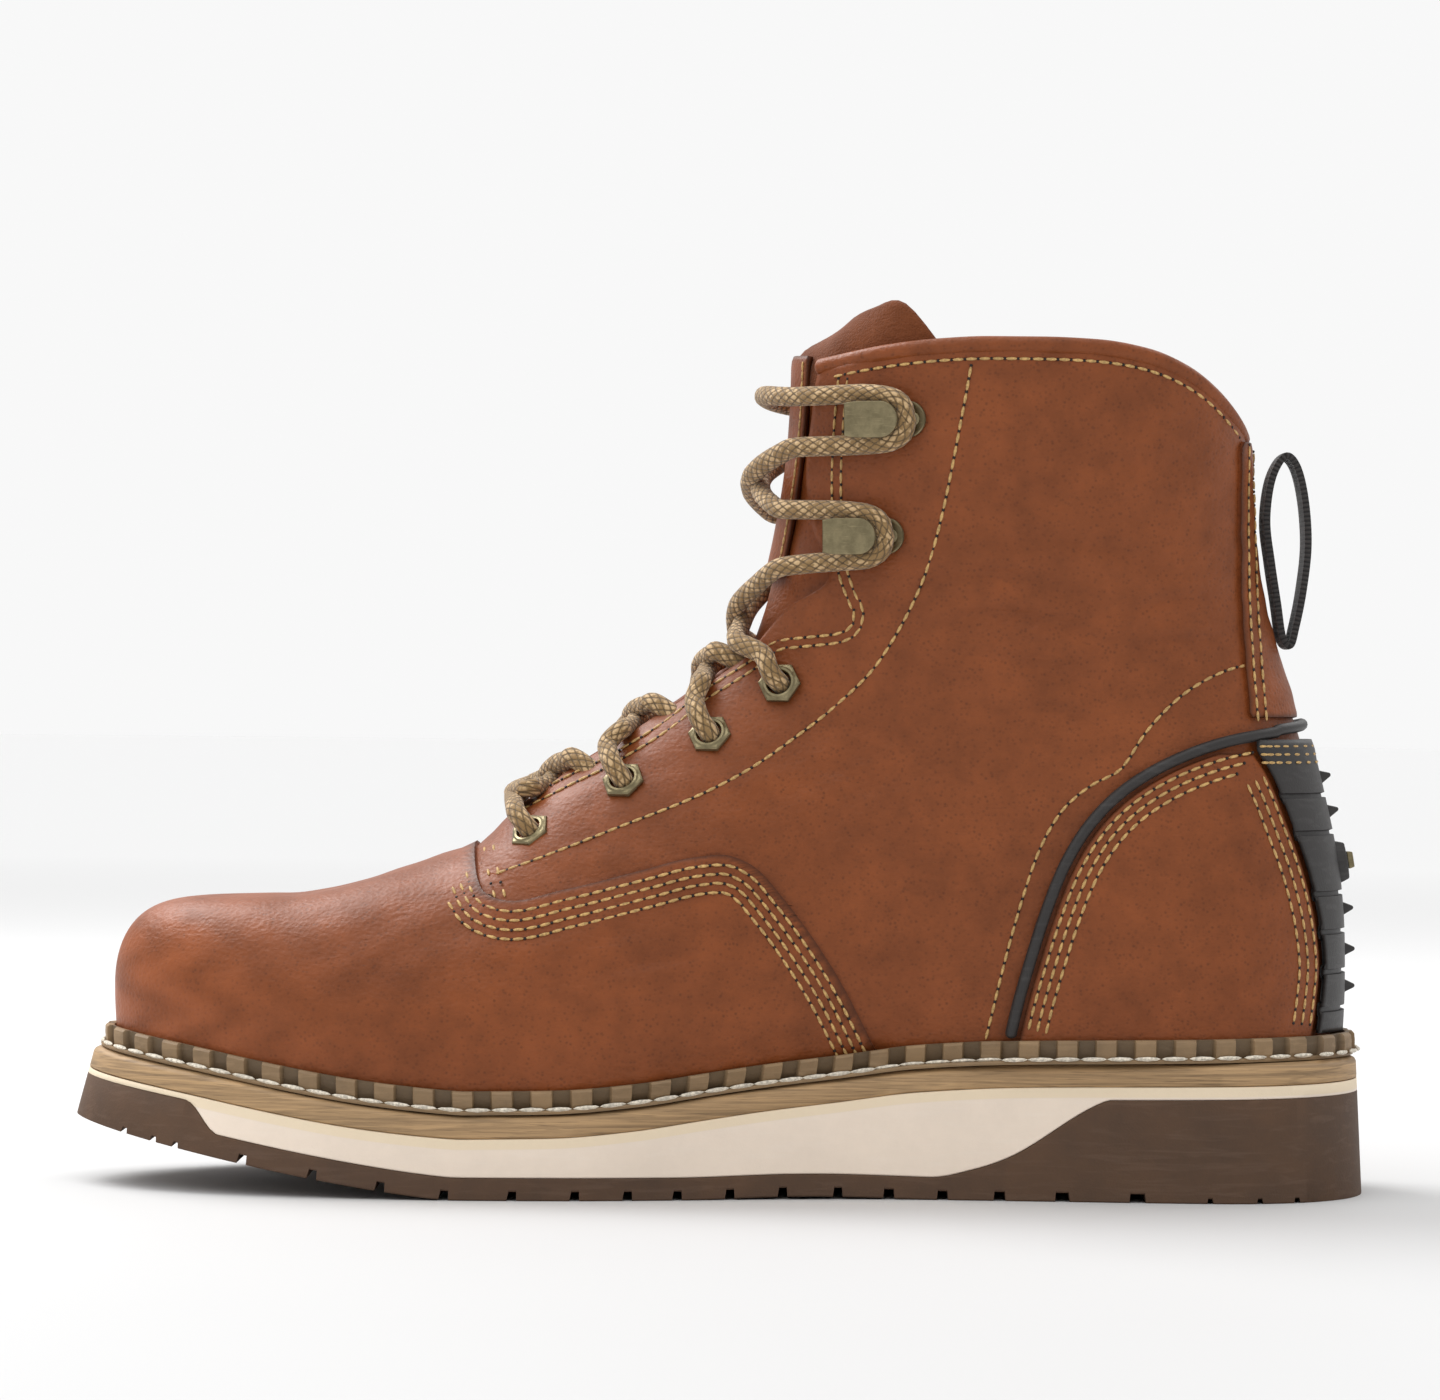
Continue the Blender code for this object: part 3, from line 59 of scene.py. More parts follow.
# The boot's sizes, as its solids have them
SOLE_LENGTH = 310 * MM
SOLE_WIDTH = 108 * MM
BALL_STACK = 21 * MM
HEEL_STACK = 34 * MM
TOE_SPRING = 16 * MM
TREAD = 5.3 * MM
SLAB = 6.5 * MM
SLAB_BEVEL = 2.2 * MM
CREAM_AT_HEEL = 3 * MM
CREAM_AT_TOE = 1.3 * MM
WAIST_LIFT = 0.7 * MM
TOE_LEAN = 4.6 * MM
HEEL_LEAN = 1.8 * MM
SIDE_LEAN = 1.2 * MM
GROOVE_DEPTH = 1.7 * MM
WELT_HEIGHT = 4.6 * MM
WELT_RIB = 1 * MM
WELT_FLANGE = 4.2 * MM
WELT_FLANGE_THICKNESS = 0.9 * MM
BLOCK_PITCH = 8.9 * MM
BLOCK_WIDTH = 4.9 * MM
BLOCK_DEPTH = 1.5 * MM
INSOLE_THICKNESS = 4 * MM
TOE_SET = 11.2 * MM
HEEL_SET = 10 * MM
FEATHER_LEDGE = 7.2 * MM
TOE_HEIGHT = 67.5 * MM
INSTEP_HEIGHT = 130 * MM
COLLAR_HEIGHT = 200 * MM
COLLAR_WIDTH = 80 * MM
COLLAR_BACK_DROP = 20 * MM
COLLAR_FRONT_DROP = 5 * MM
WALL = 2.2 * MM
OVERLAY = 1.4 * MM
POCKET = 1.6 * MM
WIDEST_AT = 15 * MM
BINDING_RADIUS = 1.6 * MM
TONGUE_PAD = 4.5 * MM
TONGUE_EDGE = 1.6 * MM
TONGUE_RISE = 14 * MM
TONGUE_SINK = 1.8 * MM
PATCH_THICKNESS = 1.6 * MM
GUARD_THICKNESS = 2.6 * MM
GUARD_RIB_GAP = 1 * MM
STUD_HEIGHT = 2.6 * MM
STUD_WIDTH = 6 * MM
PIPING_RADIUS = 1.4 * MM
LOOP_WIDTH = 12 * MM
LOOP_THICKNESS = 1.8 * MM
EYELET_RADIUS = 5.3 * MM
EYELET_HOLE = 2.9 * MM
EYELET_THICKNESS = 1.1 * MM
HOOK_LENGTH = 14 * MM
HOOK_WIDTH = 8.6 * MM
HOOK_PLATE = 1 * MM
HOOK_GAP = 5.6 * MM
LACE_DIAMETER = 5 * MM
GAP = 0.3 * MM
COLUMNS_PER_SIDE = 15
THROAT_COLUMN = 2

# Sizes that only this script needs
SHAFT_REACH = 0.42 * COLLAR_WIDTH
BEHIND_HEEL = 0.47 * SOLE_LENGTH
UNDER_WALL = WALL + 3 * GAP
SLOPE_STEP = 0.3 * MM
LOOSE_WELD = 0.01 * MM
SEAM_FOOT = 42 * MM
STITCH_LIFT = 0.10 * MM
SMALL_STITCH = (2.4 * MM, 0.7 * MM)
STITCHES_PER_BATCH = 40


class Table:
    """Rows with named columns, read as a smooth curve along the first column without overshoot."""

    def __init__(self, names, *rows):
        columns = dict(zip(names.split(), np.array(rows, float).T))
        self.at = columns[names.split()[0]]
        self.parts = {name: self.cubic(column) for name, column in columns.items()}

    def cubic(self, y):
        """The four numbers of each span's curve, from its start."""
        step = np.diff(self.at)
        rise = np.diff(y) / step
        slope = np.concatenate([[rise[0]], np.zeros(len(y) - 2), [rise[-1]]])
        same = rise[:-1] * rise[1:] > 0
        mean = 2 * rise[:-1] * rise[1:] / np.where(same, rise[:-1] + rise[1:], 1)
        slope[1:-1] = np.where(same, mean, 0)
        start, end = slope[:-1], slope[1:]
        return y[:-1], start, (3 * rise - 2 * start - end) / step, (start + end - 2 * rise) / step**2

    def read(self, name, where):
        x = self.at
        where = np.clip(where, x[0], x[-1])
        i = np.clip(np.searchsorted(x, where, side="right") - 1, 0, len(x) - 2)
        t = where - x[i]
        level, slope, bend, turn = self.parts[name]
        return level[i] + t * (slope[i] + t * (bend[i] + t * turn[i]))


# Shares of the sole's length from the toe, and of its width across the ball, to each side
OUTLINE = Table(
    "along inner outer",
    (0.00, 0.468, 0.530),
    (0.30, 0.468, 0.526),
    (0.38, 0.456, 0.535),
    (0.46, 0.418, 0.525),
    (0.55, 0.362, 0.492),
    (0.64, 0.336, 0.445),
    (0.74, 0.348, 0.397),
    (0.86, 0.366, 0.368),
    (1.00, 0.366, 0.366),
)
TOE_ROUND, TOE_POWER = 0.29, 1.95
HEEL_ROUND, HEEL_POWER = 0.125, 2.1
SOLE_RISE = Table(
    "along rise",
    (0.000, -0.26),
    (0.100, -0.14),
    (0.200, -0.11),
    (0.300, -0.03),
    (0.370, 0.00),
    (0.430, 0.12),
    (0.484, 0.31),
    (0.535, 0.48),
    (0.587, 0.63),
    (0.650, 0.82),
    (0.730, 0.93),
    (0.855, 0.98),
    (1.000, 1.03),
)
TREAD_RISE = Table(
    "along toe heel",
    (0.000, 1.00, 0.00),
    (0.087, 1.00, 0.00),
    (0.118, 0.00, 0.00),
    (0.660, 0.00, 0.00),
    (0.692, 0.00, 0.11),
    (0.718, 0.00, 0.26),
    (0.788, 0.00, 0.95),
    (0.797, 0.00, 1.00),
    (1.000, 0.00, 1.00),
)
RIDGE = Table(
    "along rise",
    (0.00, 0.000),
    (0.13, 0.000),
    (0.166, 0.018),
    (0.198, 0.058),
    (0.231, 0.108),
    (0.265, 0.163),
    (0.290, 0.205),
    (0.314, 0.310),
    (0.340, 0.420),
    (0.363, 0.510),
    (0.396, 0.620),
    (0.437, 0.755),
    (0.478, 0.890),
    (0.512, 1.000),
    (0.560, 1.060),
    (1.000, 1.060),
)
FOOT = Table(
    "along roof inner outer",
    (0.00, 5.0, 0.035, 0.035),
    (0.15, 4.0, 0.040, 0.035),
    (0.27, 2.7, 0.050, 0.030),
    (0.40, 2.2, 0.110, 0.030),
    (0.52, 2.1, 0.180, 0.040),
    (0.62, 2.1, 0.150, 0.060),
    (0.78, 2.2, 0.060, 0.050),
    (1.00, 2.2, 0.040, 0.040),
)
SHAFT = Table(
    "up front back side",
    (0.170, 0.100, 0.4640, 0.390),
    (0.246, 0.070, 0.4680, 0.410),
    (0.305, 0.050, 0.4682, 0.418),
    (0.370, 0.040, 0.4655, 0.418),
    (0.414, 0.035, 0.4605, 0.414),
    (0.463, 0.030, 0.4530, 0.408),
    (0.512, 0.025, 0.4460, 0.404),
    (0.557, 0.020, 0.4395, 0.404),
    (0.606, 0.016, 0.4325, 0.410),
    (0.650, 0.015, 0.4260, 0.420),
    (0.720, 0.020, 0.4155, 0.440),
    (0.790, 0.029, 0.4090, 0.460),
    (0.857, 0.036, 0.4062, 0.478),
    (0.936, 0.040, 0.4048, 0.495),
    (1.100, 0.042, 0.4040, 0.510),
)
TOE_RINGS = (
    (-0.4640, 0.00, 0.000),
    (-0.4645, 0.27, 0.035),
    (-0.4620, 0.55, 0.075),
    (-0.4540, 0.80, 0.120),
    (-0.4360, 0.94, 0.170),
    (-0.4050, 1.00, 0.220),
    (-0.3550, 1.02, 0.270),
    (-0.3000, 1.06, 0.320),
    (-0.2450, 1.18, 0.365),
    (-0.1900, 1.32, 0.410),
)
THROAT_RINGS = (
    (-0.1450, 0.42, 0.445),
    (-0.1000, 0.58, 0.480),
    (-0.0550, 0.76, 0.520),
    (-0.0100, 0.92, 0.560),
)
SHAFT_RINGS = (
    (0.000, 0.05, 0.600),
    (0.016, 0.13, 0.645),
    (0.023, 0.24, 0.695),
    (0.029, 0.40, 0.755),
    (0.035, 0.60, 0.835),
    (0.040, 0.80, 0.915),
    (0.042, 1.00, 1.000),
)
THROAT_GAP = (0.13, 0.15, 0.165, 0.18, 0.20, 0.25, 0.33, 0.29, 0.26, 0.275, 0.29)
VAMP_EDGE = (
    (-0.190, 0.425),
    (-0.187, 0.385),
    (-0.178, 0.352),
    (-0.160, 0.344),
    (-0.120, 0.358),
    (-0.060, 0.383),
    (-0.020, 0.399),
    (0.000, 0.402),
    (0.020, 0.392),
    (0.046, 0.352),
    (0.085, 0.268),
    (0.120, 0.170),
)
PIPING_PATH = (
    (0.2185, 0.180),
    (0.2245, 0.225),
    (0.2340, 0.280),
    (0.2460, 0.340),
    (0.2600, 0.395),
    (0.2800, 0.445),
    (0.3080, 0.487),
    (0.3470, 0.521),
    (0.3850, 0.541),
    (0.4200, 0.551),
)
POCKET_BACK = (
    (0.4020, 0.528),
    (0.4130, 0.503),
    (0.4300, 0.440),
    (0.4440, 0.380),
    (0.4530, 0.320),
    (0.4560, 0.275),
    (0.4540, 0.235),
    (0.4480, 0.170),
)
BACKSTAY_EDGE = ((0.402, 0.570), (0.3985, 0.640), (0.3955, 0.720), (0.3945, 0.820), (0.3950, 0.900))
RIBS = (0.475, 0.431, 0.360, 0.315, 0.268, 0.224)
STUD_LEVELS = (0.496, 0.455, 0.340, 0.292, 0.248)
BOSS_LEVEL = 0.395
EYELETS = ((-0.1470, 0.428), (-0.0755, 0.487), (-0.0100, 0.543), (0.0440, 0.603))
HOOKS = ((0.1090, 0.780), (0.1240, 0.917))
UPPER_TOE = -SOLE_LENGTH / 2 + TOE_SET
UPPER_HEEL = SOLE_LENGTH / 2 - HEEL_SET

# The camera of the photograph
CAMERA_PLACE = (-0.85 * MM, -1303.6 * MM, 116.95 * MM)
CAMERA_ROLL = math.radians(0.593)
CAMERA_LENS = 134.5
CAMERA_SENSOR = 36
FRAME_WIDTH, FRAME_HEIGHT = 1440, 1400
PIXELS_PER_UNIT = CAMERA_LENS / CAMERA_SENSOR * FRAME_WIDTH

# Side slots in the tread's edge: place along the boot and width, in mm
SIDE_SLOTS = (
    (-141, 1.0), (-133.5, 1.0), (-128, 1.0), (-111.7, 1.8), (-94.9, 1.8), (-78.9, 1.8), (-64, 1.8),
    (-48.2, 1.8), (-33.6, 1.8), (-21.3, 1.8), (-9.7, 1.8), (2.6, 1.8), (15, 1.8), (28, 1.8), (40, 2.2),
    (52.6, 2.2), (66, 2.4), (80.7, 3.0), (98.3, 3.4), (115.3, 1.0), (127.1, 1.0), (136.2, 1.0),
)

# Seams read off the photograph, as pixels of its 1440 by 1400 frame
EYESTAY_SINGLE = (
    (501, 872), (542, 857), (619, 827), (695, 797), (746, 771), (797, 736),
    (840, 702), (880, 660), (930, 560), (965, 400), (970, 372),
)
EYESTAY_FRONT = (
    ((485, 850), (487, 862), (489, 875), (494, 894)),
    ((494, 848), (496, 860), (499, 875), (504, 893)),
)
EYESTAY_EDGE = (
    (524, 799), (568, 776), (603, 759), (670, 718), (695, 697), (749, 662), (779, 641), (810, 637),
    (836, 634), (850, 627), (854, 614),
)
SHAFT_EDGE = ((848, 600), (838, 570), (833, 530), (832, 480), (834, 430), (838, 385))
COUNTER_ROW = (
    (987, 1034), (1005, 961), (1024, 894), (1040, 849), (1062, 811), (1089, 787), (1121, 769),
    (1131, 755), (1147, 731), (1188, 691), (1228, 670), (1243, 666),
)
CREASES = (
    (((905, 590), (960, 574), (1020, 580), (1085, 602)), 3.0, 0.9),
    (((930, 628), (985, 615), (1050, 622), (1110, 646)), 3.2, 0.9),
    (((915, 662), (970, 655), (1040, 668), (1105, 700)), 2.6, 0.7),
    (((985, 548), (1050, 540), (1120, 552), (1180, 580)), 3.0, 0.7),
    (((1010, 705), (1060, 712), (1110, 735)), 2.4, 0.6),
    (((1120, 655), (1170, 640), (1225, 640)), 2.2, 0.6),
    (((1130, 610), (1185, 598), (1232, 600)), 2.2, 0.6),
    (((1060, 470), (1120, 462), (1190, 470)), 3.0, 0.5),
    (((560, 985), (620, 965), (690, 958), (750, 985)), 3.5, 0.6),
    (((540, 1030), (620, 1008), (700, 1005), (780, 1030)), 3.0, 0.45),
    (((660, 815), (710, 835), (770, 838)), 2.4, 0.5),
    (((800, 760), (850, 775), (900, 812)), 2.6, 0.5),
    (((850, 720), (905, 745), (950, 790)), 2.6, 0.5),
)


def half_width(along, side, ledge=0.0):
    """Distance of the sole's side from its middle line, less a ledge."""
    body = SOLE_WIDTH * OUTLINE.read(side, along) - ledge
    toe = np.clip((TOE_ROUND - along) / TOE_ROUND, 0, 1)
    heel = np.clip((along - 1 + HEEL_ROUND) / HEEL_ROUND, 0, 1)
    return body * (1 - toe**TOE_POWER) ** (1 / TOE_POWER) * (1 - heel**HEEL_POWER) ** (1 / HEEL_POWER)


SIDEWAYS = (
    half_width(np.linspace(0, 1, 400), "inner").max() - half_width(np.linspace(0, 1, 400), "outer").max()
) / 2


def toe_lift(along):
    """How far the whole sole curves up towards the toe."""
    return TOE_SPRING * np.clip((0.30 - along) / 0.30, 0, 1) ** 1.25


def sole_bottom(along):
    waist = np.clip((along - 0.46) / 0.22, 0, 1)
    return toe_lift(along) + WAIST_LIFT * np.sin(math.pi * waist) ** 2


def sole_top(along):
    return toe_lift(along) + BALL_STACK + (HEEL_STACK - BALL_STACK) * SOLE_RISE.read("rise", along)


def tread_top(along):
    toe, heel = TREAD_RISE.read("toe", along), TREAD_RISE.read("heel", along)
    thin = sole_bottom(along) + TREAD
    under_slab = sole_top(along) - SLAB
    thin = thin + (under_slab - CREAM_AT_TOE - thin) * toe
    return thin + (under_slab - CREAM_AT_HEEL - thin) * heel


def sole_point(along, side, up, z, ledge=0.0):
    """A point of the sole's side. up is the share of its height, by which the side leans in."""
    x = -SOLE_LENGTH / 2 + TOE_LEAN * up + along * (SOLE_LENGTH - (TOE_LEAN + HEEL_LEAN) * up)
    lean = SIDE_LEAN * up * np.sin(math.pi * np.clip(along, 0, 1))
    y = np.maximum(half_width(along, side, ledge) - lean, 0)
    return np.stack([x, -y if side == "inner" else y, np.broadcast_to(z, np.shape(x))], axis=-1)


def feather_height(x):
    """Height of the sole's top, where the upper stands, at a place along the boot."""
    return sole_top((x + SOLE_LENGTH / 2 - TOE_LEAN) / (SOLE_LENGTH - TOE_LEAN - HEEL_LEAN))


def ridge_height(x):
    """Height of the foot's highest line."""
    along = (x - UPPER_TOE) / (UPPER_HEEL - UPPER_TOE)
    return TOE_HEIGHT + (INSTEP_HEIGHT - TOE_HEIGHT) * RIDGE.read("rise", along)


def foot_value(p):
    """The foot part of the last: negative inside, about 1 per metre over its size outside."""
    x, y, z = p[..., 0], p[..., 1], p[..., 2]
    along = (x - UPPER_TOE) / (UPPER_HEEL - UPPER_TOE)
    inner = y < 0
    held = np.clip(along, 0, 1)
    width = np.where(inner, OUTLINE.read("inner", held), OUTLINE.read("outer", held))
    body = SOLE_WIDTH * width - FEATHER_LEDGE
    belly = np.where(inner, FOOT.read("inner", held), FOOT.read("outer", held))
    wide = feather_height(x) + WIDEST_AT
    down = np.clip((wide - z) / WIDEST_AT, 0, 2)
    swell = (1 + belly) * (1 - belly / (1 + belly) * down**2)
    toe = np.maximum((TOE_ROUND - along) / TOE_ROUND, 0)
    heel = np.maximum((along - 1 + HEEL_ROUND) / HEEL_ROUND, 0)
    across = np.abs(y) / (body * swell)
    toe = toe / (1 + 0.012 * (1 - down**2))
    plan = (across**TOE_POWER + toe**TOE_POWER + heel**TOE_POWER) ** (1 / TOE_POWER)
    front = np.clip(toe / np.maximum(plan, 1e-6), 0, 1) ** 3
    roof = FOOT.read("roof", held) * (1 - front) + 13 * front
    up = np.maximum((z - wide) / (ridge_height(x) - wide), 0)
    return (np.maximum(plan, 1e-9) ** roof + up**2) ** (1 / roof) - 1


def shaft_value(p):
    """The shaft part of the last, measured like the foot."""
    x, y, z = p[..., 0], p[..., 1], p[..., 2]
    up = z / COLLAR_HEIGHT
    front = SOLE_LENGTH * SHAFT.read("front", up)
    back = SOLE_LENGTH * SHAFT.read("back", up)
    side = COLLAR_WIDTH * SHAFT.read("side", up)
    middle, reach = (front + back) / 2, (back - front) / 2
    power = 2.15
    return ((np.abs(x - middle) / reach) ** power + (np.abs(y) / side) ** power) ** (1 / power) - 1


def unit(ways):
    return ways / np.linalg.norm(ways, axis=-1, keepdims=True)


def gradient(value, p, step=0.02 * MM):
    shifts = np.concatenate([np.eye(3), -np.eye(3)]) * step
    around = value(p + shifts.reshape(6, *[1] * (p.ndim - 1), 3))
    return np.moveaxis(around[:3] - around[3:], 0, -1) / (2 * step)


def distance(value, p):
    return value(p) / np.maximum(np.linalg.norm(gradient(value, p), axis=-1), 1e-6)


def last_distance(p):
    """Distance to the last, the foot and shaft run into each other by a soft hollow."""
    foot, shaft = distance(foot_value, p), distance(shaft_value, p)
    blend = 16 * MM
    near = np.maximum(blend - np.abs(foot - shaft), 0) / blend
    return np.minimum(foot, shaft) - near**3 * blend / 6


def last_normal(p):
    return unit(gradient(last_distance, p, SLOPE_STEP))


def settle(p, free=(1, 1, 1), steps=25):
    """Moves points onto the last, along the axes that are free."""
    free = np.array(free, float)
    for _ in range(steps):
        slope = gradient(last_distance, p, SLOPE_STEP) * free
        size = np.maximum((slope**2).sum(axis=-1, keepdims=True), 0.05)
        move = last_distance(p)[..., None] * slope / size
        p = p - np.clip(move, -6 * MM, 6 * MM) * 0.8
    return p


def on_upper(x, z, side, offset=0.0):
    """The point of the upper's outer face seen at x, z from the inner (-1) or outer (1) side."""
    x, z = np.broadcast_arrays(np.asarray(x, float), np.asarray(z, float))
    low, high = np.zeros(x.shape), np.full(x.shape, 0.07)
    for _ in range(18):
        middle = (low + high) / 2
        outside = last_distance(np.stack([x, side * middle, z], axis=-1)) > 0
        low, high = np.where(outside, low, middle), np.where(outside, middle, high)
    p = np.stack([x, side * (low + high) / 2, z], axis=-1)
    return p + last_normal(p) * np.asarray(offset)[..., None]


def path_places(points):
    """How far along a path each of its points lies."""
    return np.concatenate([[0], np.cumsum(np.linalg.norm(np.diff(points, axis=0), axis=1))])


def path_length(points):
    return np.linalg.norm(np.diff(points, axis=0), axis=1).sum()


def closed(ring):
    return np.vstack([ring, ring[:1]])


def even_path(points, count):
    """Points evenly along a smooth curve through the given ones, in two or three dimensions."""
    points = np.array(points, float)
    lengths = path_places(points)
    axes = "xyz"[: points.shape[1]]
    smooth = Table("at " + " ".join(axes), *np.column_stack([lengths, points]))
    even = np.linspace(0, lengths[-1], count)
    return np.column_stack([smooth.read(axis, even) for axis in axes])


def seen(outline, count=None):
    """A side view outline in metres, or count points evenly along a smooth curve through it."""
    points = np.array(outline, float) * (SOLE_LENGTH, COLLAR_HEIGHT)
    return points if count is None else even_path(points, count)


def beside(path, by):
    """A side view path drawn aside, to its right on the way up."""
    way = unit(np.gradient(path, axis=0))
    return path + by * np.column_stack([way[:, 1], -way[:, 0]])


def collar_line(x):
    """Height of the collar at a place along the boot."""
    front, back = SOLE_LENGTH * 0.065, SOLE_LENGTH * 0.404
    share = np.clip((x - front) / (back - front), 0, 1)
    rise = 1 - np.clip((0.42 - share) / 0.42, 0, 1) ** 2
    fall = np.clip((share - 0.42) / 0.58, 0, 1) ** 4
    return COLLAR_HEIGHT - COLLAR_FRONT_DROP * (1 - rise) - COLLAR_BACK_DROP * fall


def ring_ends():
    """The front x, front z and back z of each ring of the upper."""
    seat = feather_height(SOLE_LENGTH * 0.45)
    back_rise = COLLAR_HEIGHT - COLLAR_BACK_DROP - seat
    rows = []
    toe_low = feather_height(UPPER_TOE)
    for x, up, back in TOE_RINGS:
        rows.append((x * SOLE_LENGTH, toe_low + (TOE_HEIGHT - toe_low) * up, seat + back_rise * back))
    for x, up, back in THROAT_RINGS:
        high = TOE_HEIGHT + (INSTEP_HEIGHT - TOE_HEIGHT) * up
        rows.append((x * SOLE_LENGTH, high, seat + back_rise * back))
    for x, up, back in SHAFT_RINGS:
        high = INSTEP_HEIGHT + (COLLAR_HEIGHT - INSTEP_HEIGHT) * up
        rows.append((x * SOLE_LENGTH, high, seat + back_rise * back))
    return rows


def upper_grid():
    """Points of the last, ring by ring and column by column, and the mask of cells that are leather."""
    half = COLUMNS_PER_SIDE
    ends = ring_ends()
    base = len(TOE_RINGS)
    grid = np.zeros((len(ends), 2 * half, 3))
    for k, (front_x, front_z, back_z) in enumerate(ends):
        for column in range(2 * half):
            step = min(column, 2 * half - column)
            side = -1 if column <= half else 1
            angle = math.pi * step / half
            if k >= base:
                gap = THROAT_GAP[k - base] * COLLAR_WIDTH
                start = math.asin(min(gap / SHAFT_REACH, 1))
                share = max(step - THROAT_COLUMN, 0) / (half - THROAT_COLUMN)
                angle = start + (math.pi - start) * share
                if step < THROAT_COLUMN:
                    angle = start * step / THROAT_COLUMN
            share = (1 - math.cos(angle)) / 2
            wide = 0.5 * SOLE_WIDTH - FEATHER_LEDGE if k < base else SHAFT_REACH
            dome = 0.065 * COLLAR_HEIGHT * max(0, (k - base) / (len(ends) - 1 - base)) ** 2
            z = front_z + (back_z - front_z) * share + dome * math.sin(math.pi * share)
            grid[k, column] = (front_x + (UPPER_HEEL - front_x) * share, side * wide * math.sin(angle), z)
    middle = settle(grid[:, (0, half), :], free=(1, 0, 1))
    grid[1:-1] = settle(grid[1:-1])
    grid[:, (0, half), :] = middle
    for k in range(base, len(ends)):
        for column in (THROAT_COLUMN, 2 * half - THROAT_COLUMN):
            edge = grid[k, column].copy()
            edge[1] = math.copysign(THROAT_GAP[k - base] * COLLAR_WIDTH, edge[1])
            grid[k, column] = settle(edge, free=(1, 0, 1), steps=40)
    for k, line in ((0, feather_height), (len(ends) - 1, collar_line)):
        ring = grid[k]
        for _ in range(8):
            ring[:, 2] = line(ring[:, 0]) + (GAP if k == 0 else 0)
            ring = settle(ring, free=(1, 1, 0), steps=8)
        grid[k] = ring
    leather = np.ones((len(ends) - 1, 2 * half), bool)
    leather[base:, :THROAT_COLUMN] = False
    leather[base:, 2 * half - THROAT_COLUMN :] = False
    return grid, leather


GRID, LEATHER = upper_grid()
NORMALS = last_normal(GRID)
FEATHER_RING = GRID[0]


def feather_path(offset, up, where):
    """Points round the upper at a height over the sole, at shares of the feather line's length."""
    ring = FEATHER_RING.copy()
    for _ in range(4):
        ring[:, 2] = feather_height(ring[:, 0]) + max(up, 0)
        ring = settle(ring, free=(1, 1, 0), steps=6)
    normal = unit(last_normal(ring) * (1, 1, 0))
    ring, normal = finer(ring, 8, True), finer(normal, 8, True)
    line = closed(finer(FEATHER_RING, 8, True))
    lengths = path_places(line)
    at = where * lengths[-1]
    on_line = np.column_stack([np.interp(at, lengths, axis) for axis in closed(ring).T])
    out = np.column_stack([np.interp(at, lengths, axis) for axis in closed(normal).T])
    path = on_line + out * np.reshape(offset, (-1, 1))
    path[:, 2] = feather_height(path[:, 0]) + up
    return path


def covering(x):
    """How far the vamp, pockets and guard stand out over the quarters at the feather line."""
    vamp, pocket, guard = VAMP_EDGE[-1][0], PIPING_PATH[0][0], POCKET_BACK[-1][0]
    places = np.array([vamp + 0.004, vamp + 0.012, pocket - 0.008, pocket, guard - 0.014, guard - 0.004])
    thick = (OVERLAY, 0, 0, POCKET + GAP, POCKET + GAP, GUARD_THICKNESS + GAP)
    return np.interp(x, places * SOLE_LENGTH, thick)


def tongue_surface():
    """Outer face of the tongue, row by row from under the vamp to above the collar, and its pad."""
    base = len(TOE_RINGS) - 2
    rows, across = [], 11
    ends = ring_ends()
    for k in range(base, len(ends)):
        widen = np.clip((k - base) / (len(ends) - 1 - base), 0, 1)
        half_angle = 0.50 + 0.22 * widen
        row = []
        front_x, front_z, back_z = ends[k]
        for share in np.linspace(-1, 1, across):
            angle = abs(share) * half_angle * math.pi / 2
            along = (1 - math.cos(angle)) / 2
            x = front_x + (UPPER_HEEL - front_x) * along
            y = math.copysign(SHAFT_REACH * math.sin(angle), share)
            row.append((x, y, front_z + (back_z - front_z) * along * 0.6))
        rows.append(row)
    grid = settle(np.array(rows, float))
    top = grid[-1].copy()
    shares = np.abs(np.linspace(-1, 1, across))
    top[:, 2] = np.minimum(top[:, 2], collar_line(top[:, 0]))
    lifted = top.copy()
    rise = 0.66 + 0.34 * np.sin(math.pi * shares**1.5 * 0.8)
    rise *= np.sqrt(1 - np.clip((shares - 0.6) / 0.4, 0, 1) ** 2)
    lifted[:, 2] += TONGUE_RISE * rise
    lifted[:, 0] += (2 + 7 * (1 - shares**2)) * MM
    return grid, last_normal(grid), lifted, shares


def finer(points, times, around=False):
    """A smooth curve through rows of points, with more rows between them."""
    count = len(points)
    spans = count if around else count - 1
    at = np.arange(spans * times + (0 if around else 1)) / times
    i = np.minimum(np.floor(at).astype(int), spans - 1)
    t = (at - i).reshape(-1, *[1] * (points.ndim - 1))

    def row(k):
        return points[k % count] if around else points[np.clip(k, 0, count - 1)]

    a, b, c, d = row(i - 1), row(i), row(i + 1), row(i + 2)
    return b + 0.5 * t * (c - a + t * (2 * a - 5 * b + 4 * c - d + t * (3 * (b - c) + d - a)))


def finer_grid(grid, rows, columns, around=False):
    grid = finer(grid, rows)
    return np.swapaxes(finer(np.swapaxes(grid, 0, 1), columns, around), 0, 1)


